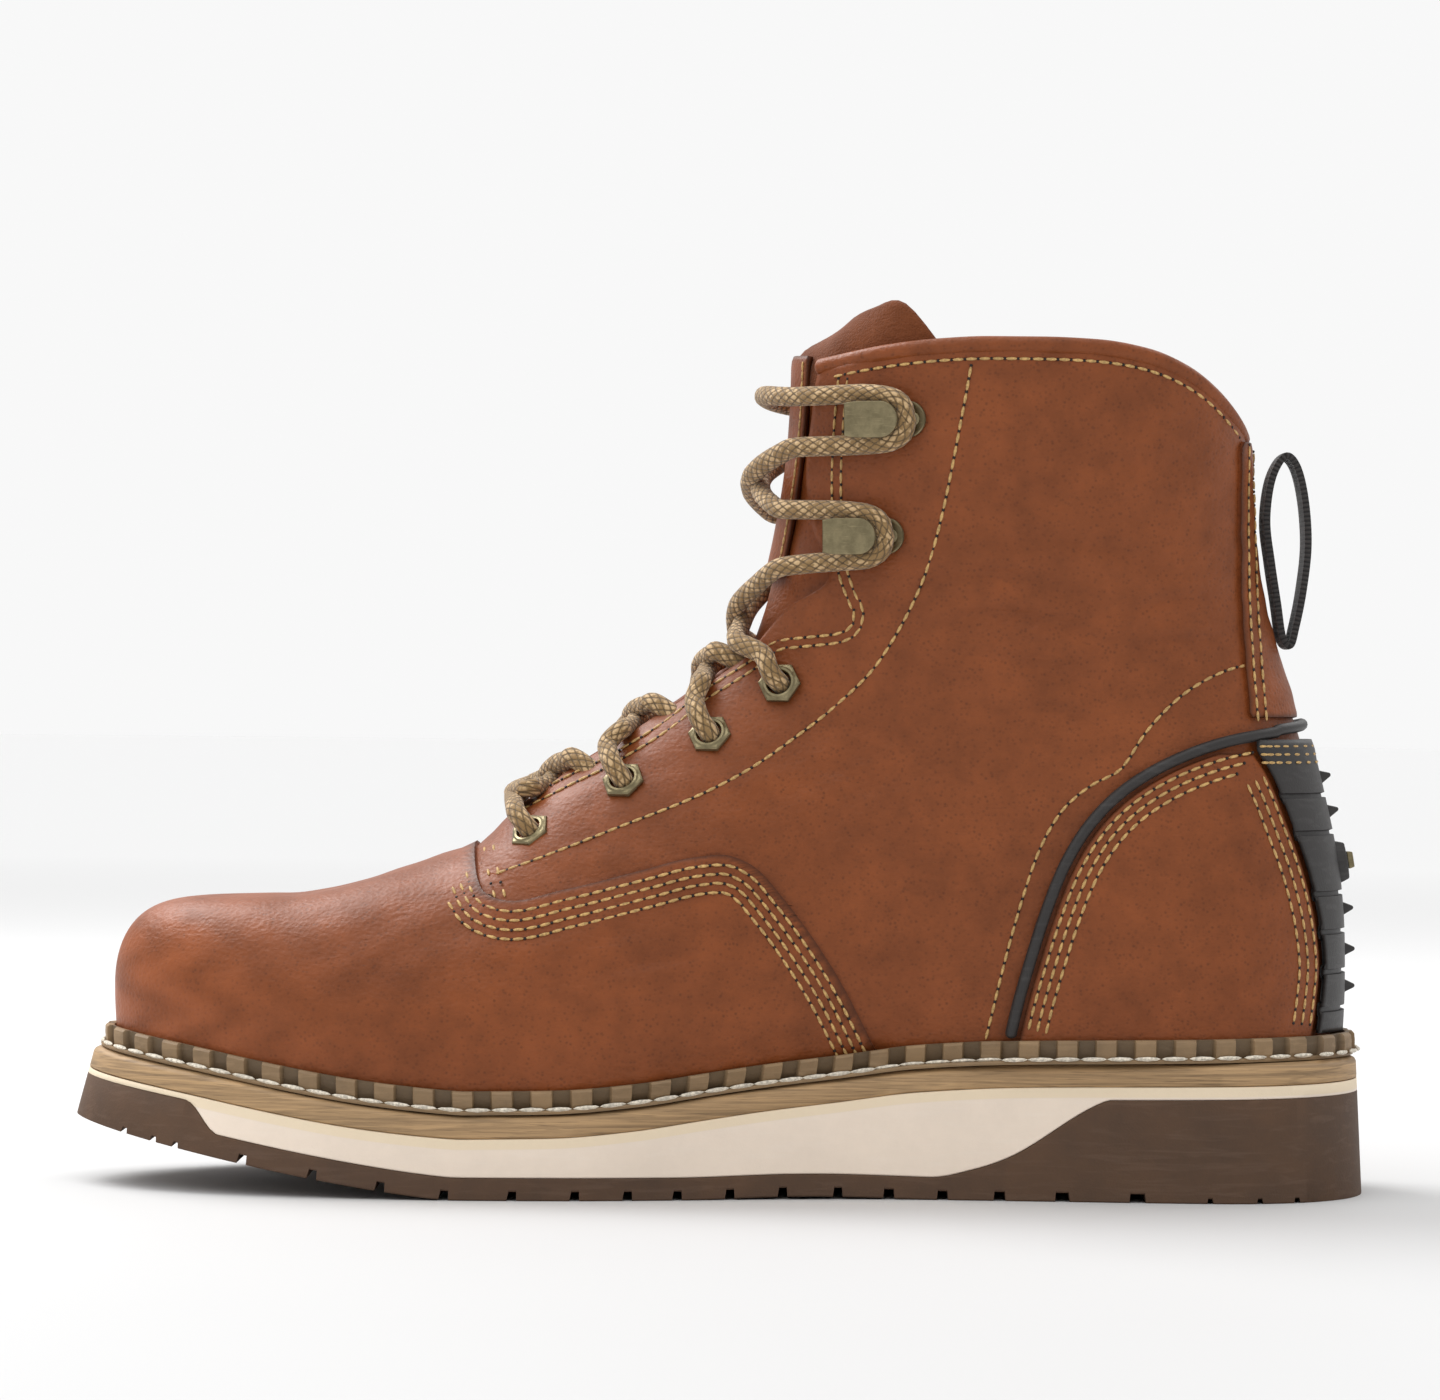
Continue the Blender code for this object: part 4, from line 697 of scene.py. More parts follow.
def from_photo(pixels, side=-1):
    """Side view places of what the photograph shows at its pixels, on the inner side of the upper."""
    pixels = np.array(pixels, float)
    right = (pixels[:, 0] - FRAME_WIDTH / 2) / PIXELS_PER_UNIT
    up = (FRAME_HEIGHT / 2 - pixels[:, 1]) / PIXELS_PER_UNIT
    level = right * math.cos(CAMERA_ROLL) - up * math.sin(CAMERA_ROLL)
    rise = right * math.sin(CAMERA_ROLL) + up * math.cos(CAMERA_ROLL)
    y = np.full(len(pixels), -40 * MM)
    for _ in range(5):
        away = y + SIDEWAYS - CAMERA_PLACE[1]
        x, z = CAMERA_PLACE[0] + level * away, CAMERA_PLACE[2] + rise * away
        y = on_upper(x, z, side)[:, 1] * -side
    return np.column_stack([x, z])


# Mesh helpers


def sheet(points, uv=None):
    """A grid whose corners are moved to the points, row by row, with a place in metres as its UV."""
    rows, columns = points.shape[:2]
    work = bmesh.new()
    bmesh.ops.create_grid(work, x_segments=columns - 1, y_segments=rows - 1, size=1)
    work.verts.ensure_lookup_table()
    for corner, point in zip(work.verts, points.reshape(-1, 3)):
        corner.co = point
    if uv is not None:
        flat = uv.reshape(-1, 2)
        layer = work.loops.layers.uv.new("Place")
        for face in work.faces:
            for loop in face.loops:
                loop[layer].uv = flat[loop.vert.index]
    return work


def welded(work, reach=0.004 * MM):
    """The closed form with its doubles merged and its faces outward."""
    bmesh.ops.remove_doubles(work, verts=work.verts, dist=reach)
    bmesh.ops.dissolve_degenerate(work, edges=work.edges, dist=reach)
    bmesh.ops.recalc_face_normals(work, faces=work.faces)
    if work.calc_volume(signed=True) < 0:
        bmesh.ops.reverse_faces(work, faces=work.faces)
    return work


def facing_out(work):
    """An open sheet of the upper, turned so that its faces look away from the last."""
    work.normal_update()
    faces = list(work.faces)[:: max(1, len(work.faces) // 60)]
    centres = np.array([face.calc_center_median() for face in faces])
    looks = np.array([face.normal if face.normal.length else (0, 0, 0) for face in faces])
    if (last_normal(centres) * looks).sum() < 0:
        bmesh.ops.reverse_faces(work, faces=work.faces)
    return work


def finished(name, work, materials, slot=None, replaces=(), crease=40):
    """The mesh as a piece that rides on the boot, in the place of the solids that it stands for."""
    bmesh.ops.translate(work, verts=work.verts, vec=(0, SIDEWAYS, 0))
    work.normal_update()
    mesh = bpy.data.meshes.new(name)
    work.to_mesh(mesh)
    work.free()
    piece = bpy.data.objects.new(name, mesh)
    bpy.context.scene.collection.objects.link(piece)
    for material in materials:
        mesh.materials.append(material)
    mesh.shade_smooth()
    mesh.set_sharp_from_angle(angle=math.radians(crease))
    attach(piece, "root")
    if replaces:
        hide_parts(*replaces)
    return piece


def with_wall(piece, thickness, lining=0):
    """Gives an outer face its thickness inward, with another material for the inside."""
    wall = piece.modifiers.new("Wall", "SOLIDIFY")
    wall.thickness = thickness
    wall.offset = -1
    wall.material_offset = lining


def around_path(path):
    """The way of a path at each of its points, and two directions square to it that don't twist."""
    way = unit(np.gradient(path, axis=0))
    side = np.cross(way[0], (0, 0, 1))
    if np.linalg.norm(side) < 0.1:
        side = np.cross(way[0], (1, 0, 0))
    sides = []
    for along in way:
        side = side - along * side.dot(along)
        side /= np.linalg.norm(side)
        sides.append(side)
    sides = np.array(sides)
    return way, sides, np.cross(way, sides)


def rod_points(path, radius, corners, flat):
    """Rings of points round a path with rounded ends, and their UV in metres round and along."""
    way, side, up = around_path(path)
    turn = np.linspace(0, 2 * math.pi, corners + 1)
    cap = np.linspace(0, math.pi / 2, 5)[1:]
    rings, places = [], []
    lengths = path_places(path)

    def add(k, size, beyond):
        out = np.outer(np.cos(turn), side[k]) + np.outer(np.sin(turn), up[k]) * flat
        rings.append(path[k] + way[k] * beyond + out * radius * size)
        along = np.full(corners + 1, lengths[k] + beyond)
        places.append(np.column_stack([turn * radius, along]))

    for a in cap[::-1]:
        add(0, math.cos(a), -math.sin(a) * radius * 0.8)
    for k in range(len(path)):
        add(k, 1.0, 0.0)
    for a in cap:
        add(len(path) - 1, math.cos(a), math.sin(a) * radius * 0.8)
    return np.array(rings), np.array(places)


def join(work, other):
    """Adds one bmesh to another and frees it."""
    holder = bpy.data.meshes.new("holder")
    other.to_mesh(holder)
    other.free()
    work.from_mesh(holder)
    bpy.data.meshes.remove(holder)
    return work


def rods(paths, radius, corners=12, flat=1.0):
    """One mesh of round or flattened rods along the paths."""
    whole = bmesh.new()
    for path in paths:
        join(whole, welded(sheet(*rod_points(path, radius, corners, flat))))
    return whole


def signed_reach(outline, x, z):
    """Distance of side view places from a closed outline, over zero inside it, and the nearest point."""
    outline = np.array(outline)
    start, end = outline, np.roll(outline, -1, axis=0)
    best = np.full(x.shape, 1.0)
    nearest = np.zeros((*x.shape, 2))
    inside = np.zeros(x.shape, bool)
    for (ax, az), (bx, bz) in zip(start, end):
        dx, dz = bx - ax, bz - az
        share = np.clip(((x - ax) * dx + (z - az) * dz) / max(dx * dx + dz * dz, 1e-12), 0, 1)
        px, pz = ax + share * dx, az + share * dz
        reach = np.hypot(x - px, z - pz)
        nearer = reach < best
        best = np.where(nearer, reach, best)
        nearest[nearer] = np.stack([px, pz], axis=-1)[nearer]
        if az != bz:
            crosses = (az > z) != (bz > z)
            inside ^= crosses & (x < ax + (z - az) / (bz - az) * dx)
    return np.where(inside, best, -best), nearest


# Materials


def node(tree, kind, inputs=None, **settings):
    """A shader node with its inputs linked where they are sockets, and set where they are values."""
    made = tree.nodes.new("ShaderNode" + kind)
    for name, value in settings.items():
        setattr(made, name, value)
    for name, value in (inputs or {}).items():
        if isinstance(value, bpy.types.NodeSocket):
            tree.links.new(value, made.inputs[name])
        else:
            made.inputs[name].default_value = value
    return made


def maths(tree, operation, *values):
    return node(tree, "Math", dict(enumerate(values)), operation=operation).outputs[0]


def times(tree, value, factor):
    return maths(tree, "MULTIPLY", value, factor)


def plus(tree, first, second):
    return maths(tree, "ADD", first, second)


def ranged(tree, value, low, high, to_low=0.0, to_high=1.0):
    return node(tree, "MapRange", {0: value, 1: low, 2: high, 3: to_low, 4: to_high}).outputs[0]


def blended(tree, share, first, second):
    """A colour between two others, which are plain colours or sockets."""
    first, second = ((*c, 1) if isinstance(c, tuple) else c for c in (first, second))
    return node(tree, "Mix", {0: share, 6: first, 7: second}, data_type="RGBA").outputs[2]


def shade(colour, share, more=0.0):
    """A darker or lighter kind of a colour."""
    return tuple(min(part * share + more, 1) for part in colour)


def object_place(tree):
    return node(tree, "TexCoord").outputs["Object"]


def own_place(tree):
    """The place in metres that a piece carries as its UV, split into its axes."""
    return node(tree, "SeparateXYZ", {0: node(tree, "UVMap", uv_map="Place").outputs[0]}).outputs


def marked(tree, name):
    """The value of an attribute of the mesh."""
    return node(tree, "Attribute", attribute_name=name).outputs["Fac"]


def noise(tree, place, scale, detail, **more):
    return node(tree, "TexNoise", {"Vector": place, "Scale": scale, "Detail": detail, **more}).outputs[0]


def stretched(tree, place, scale, turn=0.0):
    """A place whose axes are scaled apart and turned about Y, for marks that run one way."""
    return node(tree, "Mapping", {"Vector": place, "Scale": scale, "Rotation": (0, turn, 0)}).outputs[0]


def group(name, given, outputs, build):
    """A shader node group with one named input and named outputs, built once."""
    tree = bpy.data.node_groups.new(name, "ShaderNodeTree")
    tree.interface.new_socket(given, in_out="INPUT", socket_type="NodeSocketFloat")
    for label in outputs:
        tree.interface.new_socket(label, in_out="OUTPUT", socket_type="NodeSocketFloat")
    into, out = tree.nodes.new("NodeGroupInput"), tree.nodes.new("NodeGroupOutput")
    for label, value in build(tree, into.outputs).items():
        tree.links.new(value, out.inputs[label])
    return tree


def leather_effect(tree, given):
    """Mottled dye, pores and fine wrinkles of full grain leather."""
    place = object_place(tree)
    broad = noise(tree, place, 34.0, 6.0, Roughness=0.68)
    cloud = noise(tree, place, 120.0, 4.0, Roughness=0.6)
    pores = node(tree, "TexVoronoi", {"Vector": place, "Scale": given["Pores per metre"]})
    wrinkle = stretched(tree, place, (240.0, 240.0, 620.0), 0.25)
    lines = noise(tree, wrinkle, 1.0, 5.0, Distortion=1.4)
    mottle = plus(tree, times(tree, broad, 0.5), times(tree, cloud, 0.5))
    pores = pores.outputs["Distance"]
    grain = plus(tree, times(tree, pores, 0.5), times(tree, lines, 0.9))
    return {"Mottle": mottle, "Grain": grain, "Pores": pores, "Lines": lines}


def rubber_effect(tree, given):
    """Fine moulded texture and rubbed dust of rubber and foam."""
    place = object_place(tree)
    fine = noise(tree, place, given["Grains per metre"], 3.0)
    dust = noise(tree, place, 38.0, 6.0, Roughness=0.7)
    scuffs = noise(tree, stretched(tree, place, (70.0, 200.0, 700.0)), 1.0, 5.0, Distortion=0.6)
    return {"Fine": fine, "Dust": dust, "Scuffs": scuffs}


def material(name, roughness, metallic=0.0, **sockets):
    """A new material with its tree and shader, constants set on the shader's own sockets."""
    made = bpy.data.materials.new(name)
    made.use_nodes = True
    tree = made.node_tree
    shader = tree.nodes["Principled BSDF"]
    for label, value in {"Roughness": roughness, "Metallic": metallic, **sockets}.items():
        shader.inputs[label.replace("_", " ")].default_value = value
    return made, tree, shader


def dressed(tree, shader, base, height, strength, reach, rough=None):
    """Links a shader's colour, its bumps and, where it varies, its roughness."""
    tree.links.new(base, shader.inputs["Base Color"])
    bumps = node(tree, "Bump", {"Height": height, "Strength": strength, "Distance": reach})
    tree.links.new(bumps.outputs[0], shader.inputs["Normal"])
    if rough is not None:
        tree.links.new(rough, shader.inputs["Roughness"])


def use_group(tree, name, label, value):
    """A node group with its one input set."""
    made = tree.nodes.new("ShaderNodeGroup")
    made.node_tree = bpy.data.node_groups[name]
    made.inputs[label].default_value = value
    return made.outputs


def leather_material(name, colour, roughness=0.46, suede=False):
    """Tan leather: mottled dye, dark cut edges and seams, lighter at the toe from scuffing and a painted
    highlight.
    """
    sheen = {"Sheen_Weight": 0.15, "Sheen_Roughness": 0.5} if suede else {}
    made, tree, shader = material(name, roughness, Specular_IOR_Level=0.1 if suede else 0.28, **sheen)
    effect = use_group(tree, "Leather grain", "Pores per metre", 1900.0 if suede else 850.0)
    mottle = ranged(tree, effect["Mottle"], 0.36, 0.64)
    base = blended(tree, mottle, shade(colour, 0.80), shade(colour, 1.20))
    pits = ranged(tree, effect["Pores"], 0.05, 0.42, 0.62, 0.0)
    pits = times(tree, pits, ranged(tree, effect["Lines"], 0.38, 0.62, 0.15, 1.0))
    base = blended(tree, pits, base, shade(colour, 0.36))
    # Lighter at the toe: scuffing, and a painted highlight
    base = blended(tree, times(tree, marked(tree, "wear_and_highlight"), 0.8), base, shade(colour, 2.1, 0.02))
    base = blended(tree, times(tree, marked(tree, "edge"), 0.80), base, shade(colour, 0.20))
    rough = ranged(tree, effect["Mottle"], 0.35, 0.65, roughness + 0.09, roughness - 0.06)
    dressed(tree, shader, base, effect["Grain"], 0.75 if suede else 0.55, 0.35 * MM, rough)
    return made


def rubber_material(
    name, colour, roughness, grains=1800.0, streaks=0.25, strength=0.25, band=None, mottle=0.2,
    recess_shade=False,
):
    """Moulded rubber or foam, with a band along its upper edge or painted shade in its recesses where it
    has them.
    """
    made, tree, shader = material(name, roughness)
    effect = use_group(tree, "Rubber wear", "Grains per metre", grains)
    dark = shade(colour, 1 - mottle)
    base = blended(tree, ranged(tree, effect["Dust"], 0.35, 0.65), dark, shade(colour, 1 + mottle))
    marks = ranged(tree, effect["Scuffs"], 0.52, 0.70, 0.0, streaks)
    base = blended(tree, marks, base, shade(colour, 1.5, 0.03))
    if band is not None:
        depth = own_place(tree)[1]
        top = ranged(tree, depth, 2.3 * MM, 2.5 * MM, 1.0, 0.0)
        base = blended(tree, times(tree, top, 0.7), base, band)
        line = maths(tree, "COMPARE", depth, 2.45 * MM, 0.14 * MM)
        base = blended(tree, times(tree, line, 0.35), base, dark)
    # Painted shade: darker in the recesses between the welt's blocks
    if recess_shade:
        base = blended(tree, times(tree, marked(tree, "recess_shade"), 0.6), base, shade(colour, 0.2))
    rough = ranged(tree, effect["Dust"], 0.3, 0.7, roughness - 0.07, roughness + 0.09)
    height = plus(tree, effect["Fine"], times(tree, effect["Scuffs"], 0.6))
    dressed(tree, shader, base, height, strength, 0.25 * MM, rough)
    return made


def slab_material(name, colour):
    """Sanded edge of the tan slab, with grain that runs along it like wood."""
    made, tree, shader = material(name, 0.62)
    place = object_place(tree)
    grain = noise(tree, stretched(tree, place, (38.0, 38.0, 1150.0)), 1.0, 7.0, Distortion=0.9)
    flecks = noise(tree, stretched(tree, place, (130.0, 130.0, 2600.0)), 1.0, 4.0)
    base = blended(tree, ranged(tree, grain, 0.36, 0.64), shade(colour, 0.66), shade(colour, 1.15))
    base = blended(tree, ranged(tree, flecks, 0.56, 0.70, 0.0, 0.55), base, shade(colour, 0.30))
    dressed(tree, shader, base, plus(tree, grain, times(tree, flecks, 0.7)), 0.45, 0.3 * MM)
    return made


def cord_material(name, colour, fleck, pitch):
    """Round braid: two sets of strands that cross on a diamond, with painted shade between them and pale
    flecks.
    """
    made, tree, shader = material(name, 0.82, Sheen_Weight=0.2)
    split = own_place(tree)
    across = times(tree, split[0], 8 / LACE_DIAMETER)
    along = times(tree, split[1], math.pi / pitch)
    left = maths(tree, "SINE", plus(tree, across, along))
    right = maths(tree, "SINE", maths(tree, "SUBTRACT", across, along))
    weave = maths(tree, "POWER", maths(tree, "ABSOLUTE", times(tree, left, right)), 0.5)
    place = object_place(tree)
    fibres = noise(tree, place, 3000.0, 2.0)
    # Painted shade: darker where the strands part
    base = blended(tree, ranged(tree, weave, 0.15, 0.65), shade(colour, 0.25), colour)
    pale = ranged(tree, noise(tree, place, 420.0, 2.0), 0.50, 0.56)
    pale = times(tree, pale, ranged(tree, weave, 0.45, 0.75))
    base = blended(tree, times(tree, pale, 0.75), base, fleck)
    base = blended(tree, ranged(tree, fibres, 0.4, 0.7, 0.0, 0.35), base, shade(colour, 1.4))
    dressed(tree, shader, base, plus(tree, weave, times(tree, fibres, 0.5)), 0.8, 0.35 * MM)
    return made


def webbing_material(name, colour):
    """Flat webbing: ribs along it that bend where the cross threads lie, painted lighter on their tops and
    darker between them.
    """
    made, tree, shader = material(name, 0.85, Sheen_Weight=0.3)
    split = own_place(tree)
    across = times(tree, split[0], 2 * math.pi / (1.5 * MM))
    cross = maths(tree, "SINE", times(tree, split[1], 2 * math.pi / (1.1 * MM)))
    weave = plus(tree, maths(tree, "SINE", plus(tree, across, cross)), times(tree, cross, 0.5))
    # Painted highlight on the ribs and painted shade in the grooves between them
    base = blended(tree, ranged(tree, weave, -1.0, 1.4), shade(colour, 0.35), shade(colour, 1.9))
    dressed(tree, shader, base, weave, 0.7, 0.3 * MM)
    return made


def brass_material(name, colour):
    """Aged brass with patina and fine scratches."""
    made, tree, shader = material(name, 0.38, 1.0)
    place = object_place(tree)
    patina = noise(tree, place, 330.0, 5.0, Roughness=0.65)
    lines = noise(tree, stretched(tree, place, (300.0, 300.0, 2600.0), 0.6), 1.0, 3.0)
    base = blended(tree, ranged(tree, patina, 0.38, 0.62), shade(colour, 0.74), colour)
    base = blended(tree, ranged(tree, lines, 0.6, 0.72, 0.0, 0.35), base, shade(colour, 1.6))
    rough = ranged(tree, patina, 0.3, 0.7, 0.58, 0.30)
    dressed(tree, shader, base, plus(tree, patina, times(tree, lines, 0.4)), 0.25, 0.15 * MM, rough)
    return made


def thread_material(name, colour):
    """Twisted thread, darker where it is soiled."""
    made, tree, shader = material(name, 0.6)
    place = object_place(tree)
    strands = noise(tree, stretched(tree, place, (1500.0, 1500.0, 1500.0), 0.8), 1.0, 2.0)
    base = blended(tree, ranged(tree, strands, 0.35, 0.65), shade(colour, 0.55), colour)
    soil = ranged(tree, noise(tree, place, 90.0, 3.0), 0.5, 0.7, 0.0, 0.45)
    base = blended(tree, soil, base, shade(colour, 0.5))
    dressed(tree, shader, base, strands, 0.5, 0.2 * MM)
    return made


def lining_material(name, colour):
    """Soft leather of the lining and the footbed."""
    made, tree, shader = material(name, 0.92)
    effect = use_group(tree, "Leather grain", "Pores per metre", 2200.0)
    base = blended(tree, ranged(tree, effect["Mottle"], 0.35, 0.65), shade(colour, 0.7), colour)
    dressed(tree, shader, base, effect["Grain"], 0.5, 0.3 * MM)
    return made


def plain_colour(default, name, description):
    return FloatVectorProperty(
        name=name, description=description, default=default, size=3, subtype="COLOR", min=0, max=1
    )


def plain_size(default, name, description):
    return FloatProperty(
        name=name, description=description, default=default, unit="LENGTH", precision=4, min=0.0001
    )


class BootSizes(bpy.types.PropertyGroup):
    """Sizes of the stitches and the cord."""

    stitch: plain_size(3.05 * MM, "Stitch pitch", "Length of one stitch and its hole on the upper")
    thread: plain_size(0.78 * MM, "Thread", "Thickness of the thread on the upper")
    sole_stitch: plain_size(6.1 * MM, "Sole stitch pitch", "Length of one stitch along the welt")
    row_gap: plain_size(2.1 * MM, "Row gap", "Distance between neighbouring rows of stitches")
    lace: plain_size(LACE_DIAMETER, "Lace", "Diameter of the round lace")


class BootColours(bpy.types.PropertyGroup):
    """Colours of the boot's materials."""

    leather: plain_colour((0.224, 0.058, 0.014), "Leather", "Oiled full grain leather")
    suede: plain_colour((0.165, 0.049, 0.017), "Suede", "Rolled top of the tongue")
    brown: plain_colour((0.094, 0.050, 0.027), "Brown rubber", "Tread, toe piece and heel wedge")
    cream: plain_colour((0.880, 0.750, 0.625), "Cream foam", "Midsole")
    band: plain_colour((0.850, 0.700, 0.480), "Cream band", "Thin upper layer of the midsole")
    tan: plain_colour((0.425, 0.268, 0.130), "Tan slab", "Slab between the midsole and the welt")
    welt: plain_colour((0.250, 0.160, 0.080), "Tan welt", "Welt and its blocks")
    black: plain_colour((0.022, 0.019, 0.018), "Black rubber", "Heel guard, piping and pull loop")
    brass: plain_colour((0.270, 0.225, 0.130), "Aged brass", "Eyelets and hooks")
    lace: plain_colour((0.285, 0.172, 0.066), "Lace", "Olive brown of the braid")
    fleck: plain_colour((0.720, 0.500, 0.270), "Fleck", "Pale strands of the braid")
    thread: plain_colour((0.700, 0.440, 0.160), "Thread", "Golden thread of the upper")
    welt_thread: plain_colour((0.900, 0.820, 0.680), "Welt thread", "Pale thread round the welt")
    lining: plain_colour((0.300, 0.175, 0.100), "Lining", "Inside of the upper and the footbed")


def sizes():
    return bpy.context.scene.boot_sizes


def colours():
    return bpy.context.scene.boot_colours


MADE = {}


def make_materials():
    """Every finish of the boot, made once."""
    tint = colours()
    group("Leather grain", "Pores per metre", ("Mottle", "Grain", "Pores", "Lines"), leather_effect)
    group("Rubber wear", "Grains per metre", ("Fine", "Dust", "Scuffs"), rubber_effect)
    MADE["leather"] = leather_material("Tan leather", tuple(tint.leather))
    MADE["suede"] = leather_material("Tongue suede", tuple(tint.suede), 0.9, True)
    MADE["brown"] = rubber_material("Brown sole rubber", tuple(tint.brown), 0.78, strength=0.35)
    MADE["cream"] = rubber_material(
        "Cream midsole foam", tuple(tint.cream), 0.72, 2600.0, 0.04, 0.2, tuple(tint.band), 0.04
    )
    MADE["slab"] = slab_material("Tan slab edge", tuple(tint.tan))
    MADE["welt"] = rubber_material("Tan welt rubber", tuple(tint.welt), 0.6, streaks=0.35, recess_shade=True)
    MADE["black"] = rubber_material("Black trim rubber", tuple(tint.black), 0.5, streaks=0.4)
    MADE["webbing"] = webbing_material("Black webbing", tuple(tint.black))
    MADE["brass"] = brass_material("Aged brass", tuple(tint.brass))
    MADE["lace"] = cord_material("Braided lace", tuple(tint.lace), tuple(tint.fleck), 3.0 * MM)
    MADE["thread"] = thread_material("Golden thread", tuple(tint.thread))
    MADE["welt thread"] = thread_material("Pale welt thread", tuple(tint.welt_thread))
    # Painted shade: near black for the inside of the needle holes
    MADE["hole"] = thread_material("Needle hole shade", (0.012, 0.006, 0.004))
    MADE["lining"] = lining_material("Lining", tuple(tint.lining))


class StageMaker(bpy.types.Operator):
    """Camera of the photograph, pale floor and soft studio light"""

    bl_idname = "boot.stage"
    bl_label = "Stage"

    def execute(self, context):
        scene = context.scene
        camera = bpy.data.cameras.new("Camera")
        camera.lens = CAMERA_LENS
        camera.sensor_width = CAMERA_SENSOR
        camera.clip_start = 0.01
        view = bpy.data.objects.new("Camera", camera)
        view.location = CAMERA_PLACE
        view.rotation_euler = (math.radians(90), -CAMERA_ROLL, 0)
        scene.collection.objects.link(view)
        scene.camera = view
        work = bmesh.new()
        bmesh.ops.create_circle(work, cap_ends=True, radius=14, segments=96)
        mesh = bpy.data.meshes.new("floor")
        work.to_mesh(mesh)
        work.free()
        floor = bpy.data.objects.new("floor", mesh)
        scene.collection.objects.link(floor)
        pale, tree, shader = material("Pale floor", 0.6, Specular_IOR_Level=0.1)
        # Painted light: the floor is darker near the boot, where the lamps light it more, and lighter far
        # off, so it looks evenly bright and fades into the backdrop
        away = node(tree, "VectorMath", {0: object_place(tree)}, operation="LENGTH").outputs["Value"]
        painted_light_balance = blended(tree, ranged(tree, away, 0.3, 2.6), (0.66, 0.66, 0.66), (0.90, 0.90, 0.90))
        tree.links.new(painted_light_balance, shader.inputs["Base Color"])
        mesh.materials.append(pale)
        sun = bpy.data.lights.new("Overhead light", "SUN")
        sun.energy = 1.1
        sun.angle = math.radians(75)
        lamp = bpy.data.objects.new("Overhead light", sun)
        lamp.rotation_euler = Vector((0.26, 0.22, -1)).to_track_quat("-Z", "Y").to_euler()
        scene.collection.objects.link(lamp)
        self.light("Toe light", (-0.58, 0.50, 0.95), (-0.11, 0.0, 0.06), 0.7, 11)
        self.light("Back light", (0.7, 0.8, 0.9), (0.05, 0.0, 0.12), 0.8, 2.5)
        world = bpy.data.worlds.new("Studio")
        world.use_nodes = True
        tree = world.node_tree
        back = tree.nodes["Background"]
        back.inputs[0].default_value = (1, 1, 1, 1)
        camera_ray = node(tree, "LightPath").outputs["Is Camera Ray"]
        tree.links.new(ranged(tree, camera_ray, 0.0, 1.0, 0.72, 0.94), back.inputs[1])
        scene.world = world
        scene.view_settings.view_transform = "Standard"
        return {"FINISHED"}

    def light(self, name, place, aim, size, power):
        lamp = bpy.data.lights.new(name, "AREA")
        lamp.size = size
        lamp.energy = power
        made = bpy.data.objects.new(name, lamp)
        made.location = place
        made.rotation_euler = (Vector(aim) - Vector(place)).to_track_quat("-Z", "Y").to_euler()
        bpy.context.scene.collection.objects.link(made)


def stations(*extra):
    """Shares of the sole's length, closer at its ends, with the extra ones among them."""
    even = (1 - np.cos(np.linspace(0, math.pi, 200))) / 2
    kept = [a for a in even if all(abs(a - e) > 0.0012 for e in extra)]
    return np.array(sorted([*kept, *extra]))


def drawn_in(points, inset):
    """Points of the sole's side, moved towards its middle line."""
    reach = np.abs(points[:, 1])
    points[:, 1] *= np.maximum(reach - inset, 0) / np.maximum(reach, 1e-9)
    return points


def layer(name, at, low, high, finish, slot, node_name, soft=0.35 * MM, notch=0.0):
    """One layer of the sole, its side rounded at its upper and lower edges."""
    total = sole_top(at) - sole_bottom(at)
    levels = [low + notch, low + notch + soft, (low + high) / 2, high - soft, high]
    inset = (soft, 0, 0, 0, soft)
    rows, places = [], []
    along = -SOLE_LENGTH / 2 + at * SOLE_LENGTH
    for side, order in (("inner", range(5)), ("outer", reversed(range(5)))):
        for k in order:
            up = (levels[k] - sole_bottom(at)) / total
            rows.append(drawn_in(sole_point(at, side, up, levels[k]), inset[k]))
            places.append(np.column_stack([along, high - levels[k]]))
    rows.append(rows[0])
    places.append(places[0])
    work = welded(sheet(np.array(rows), np.array(places)), LOOSE_WELD)
    finished(name, work, [MADE[finish]], slot, (node_name,))


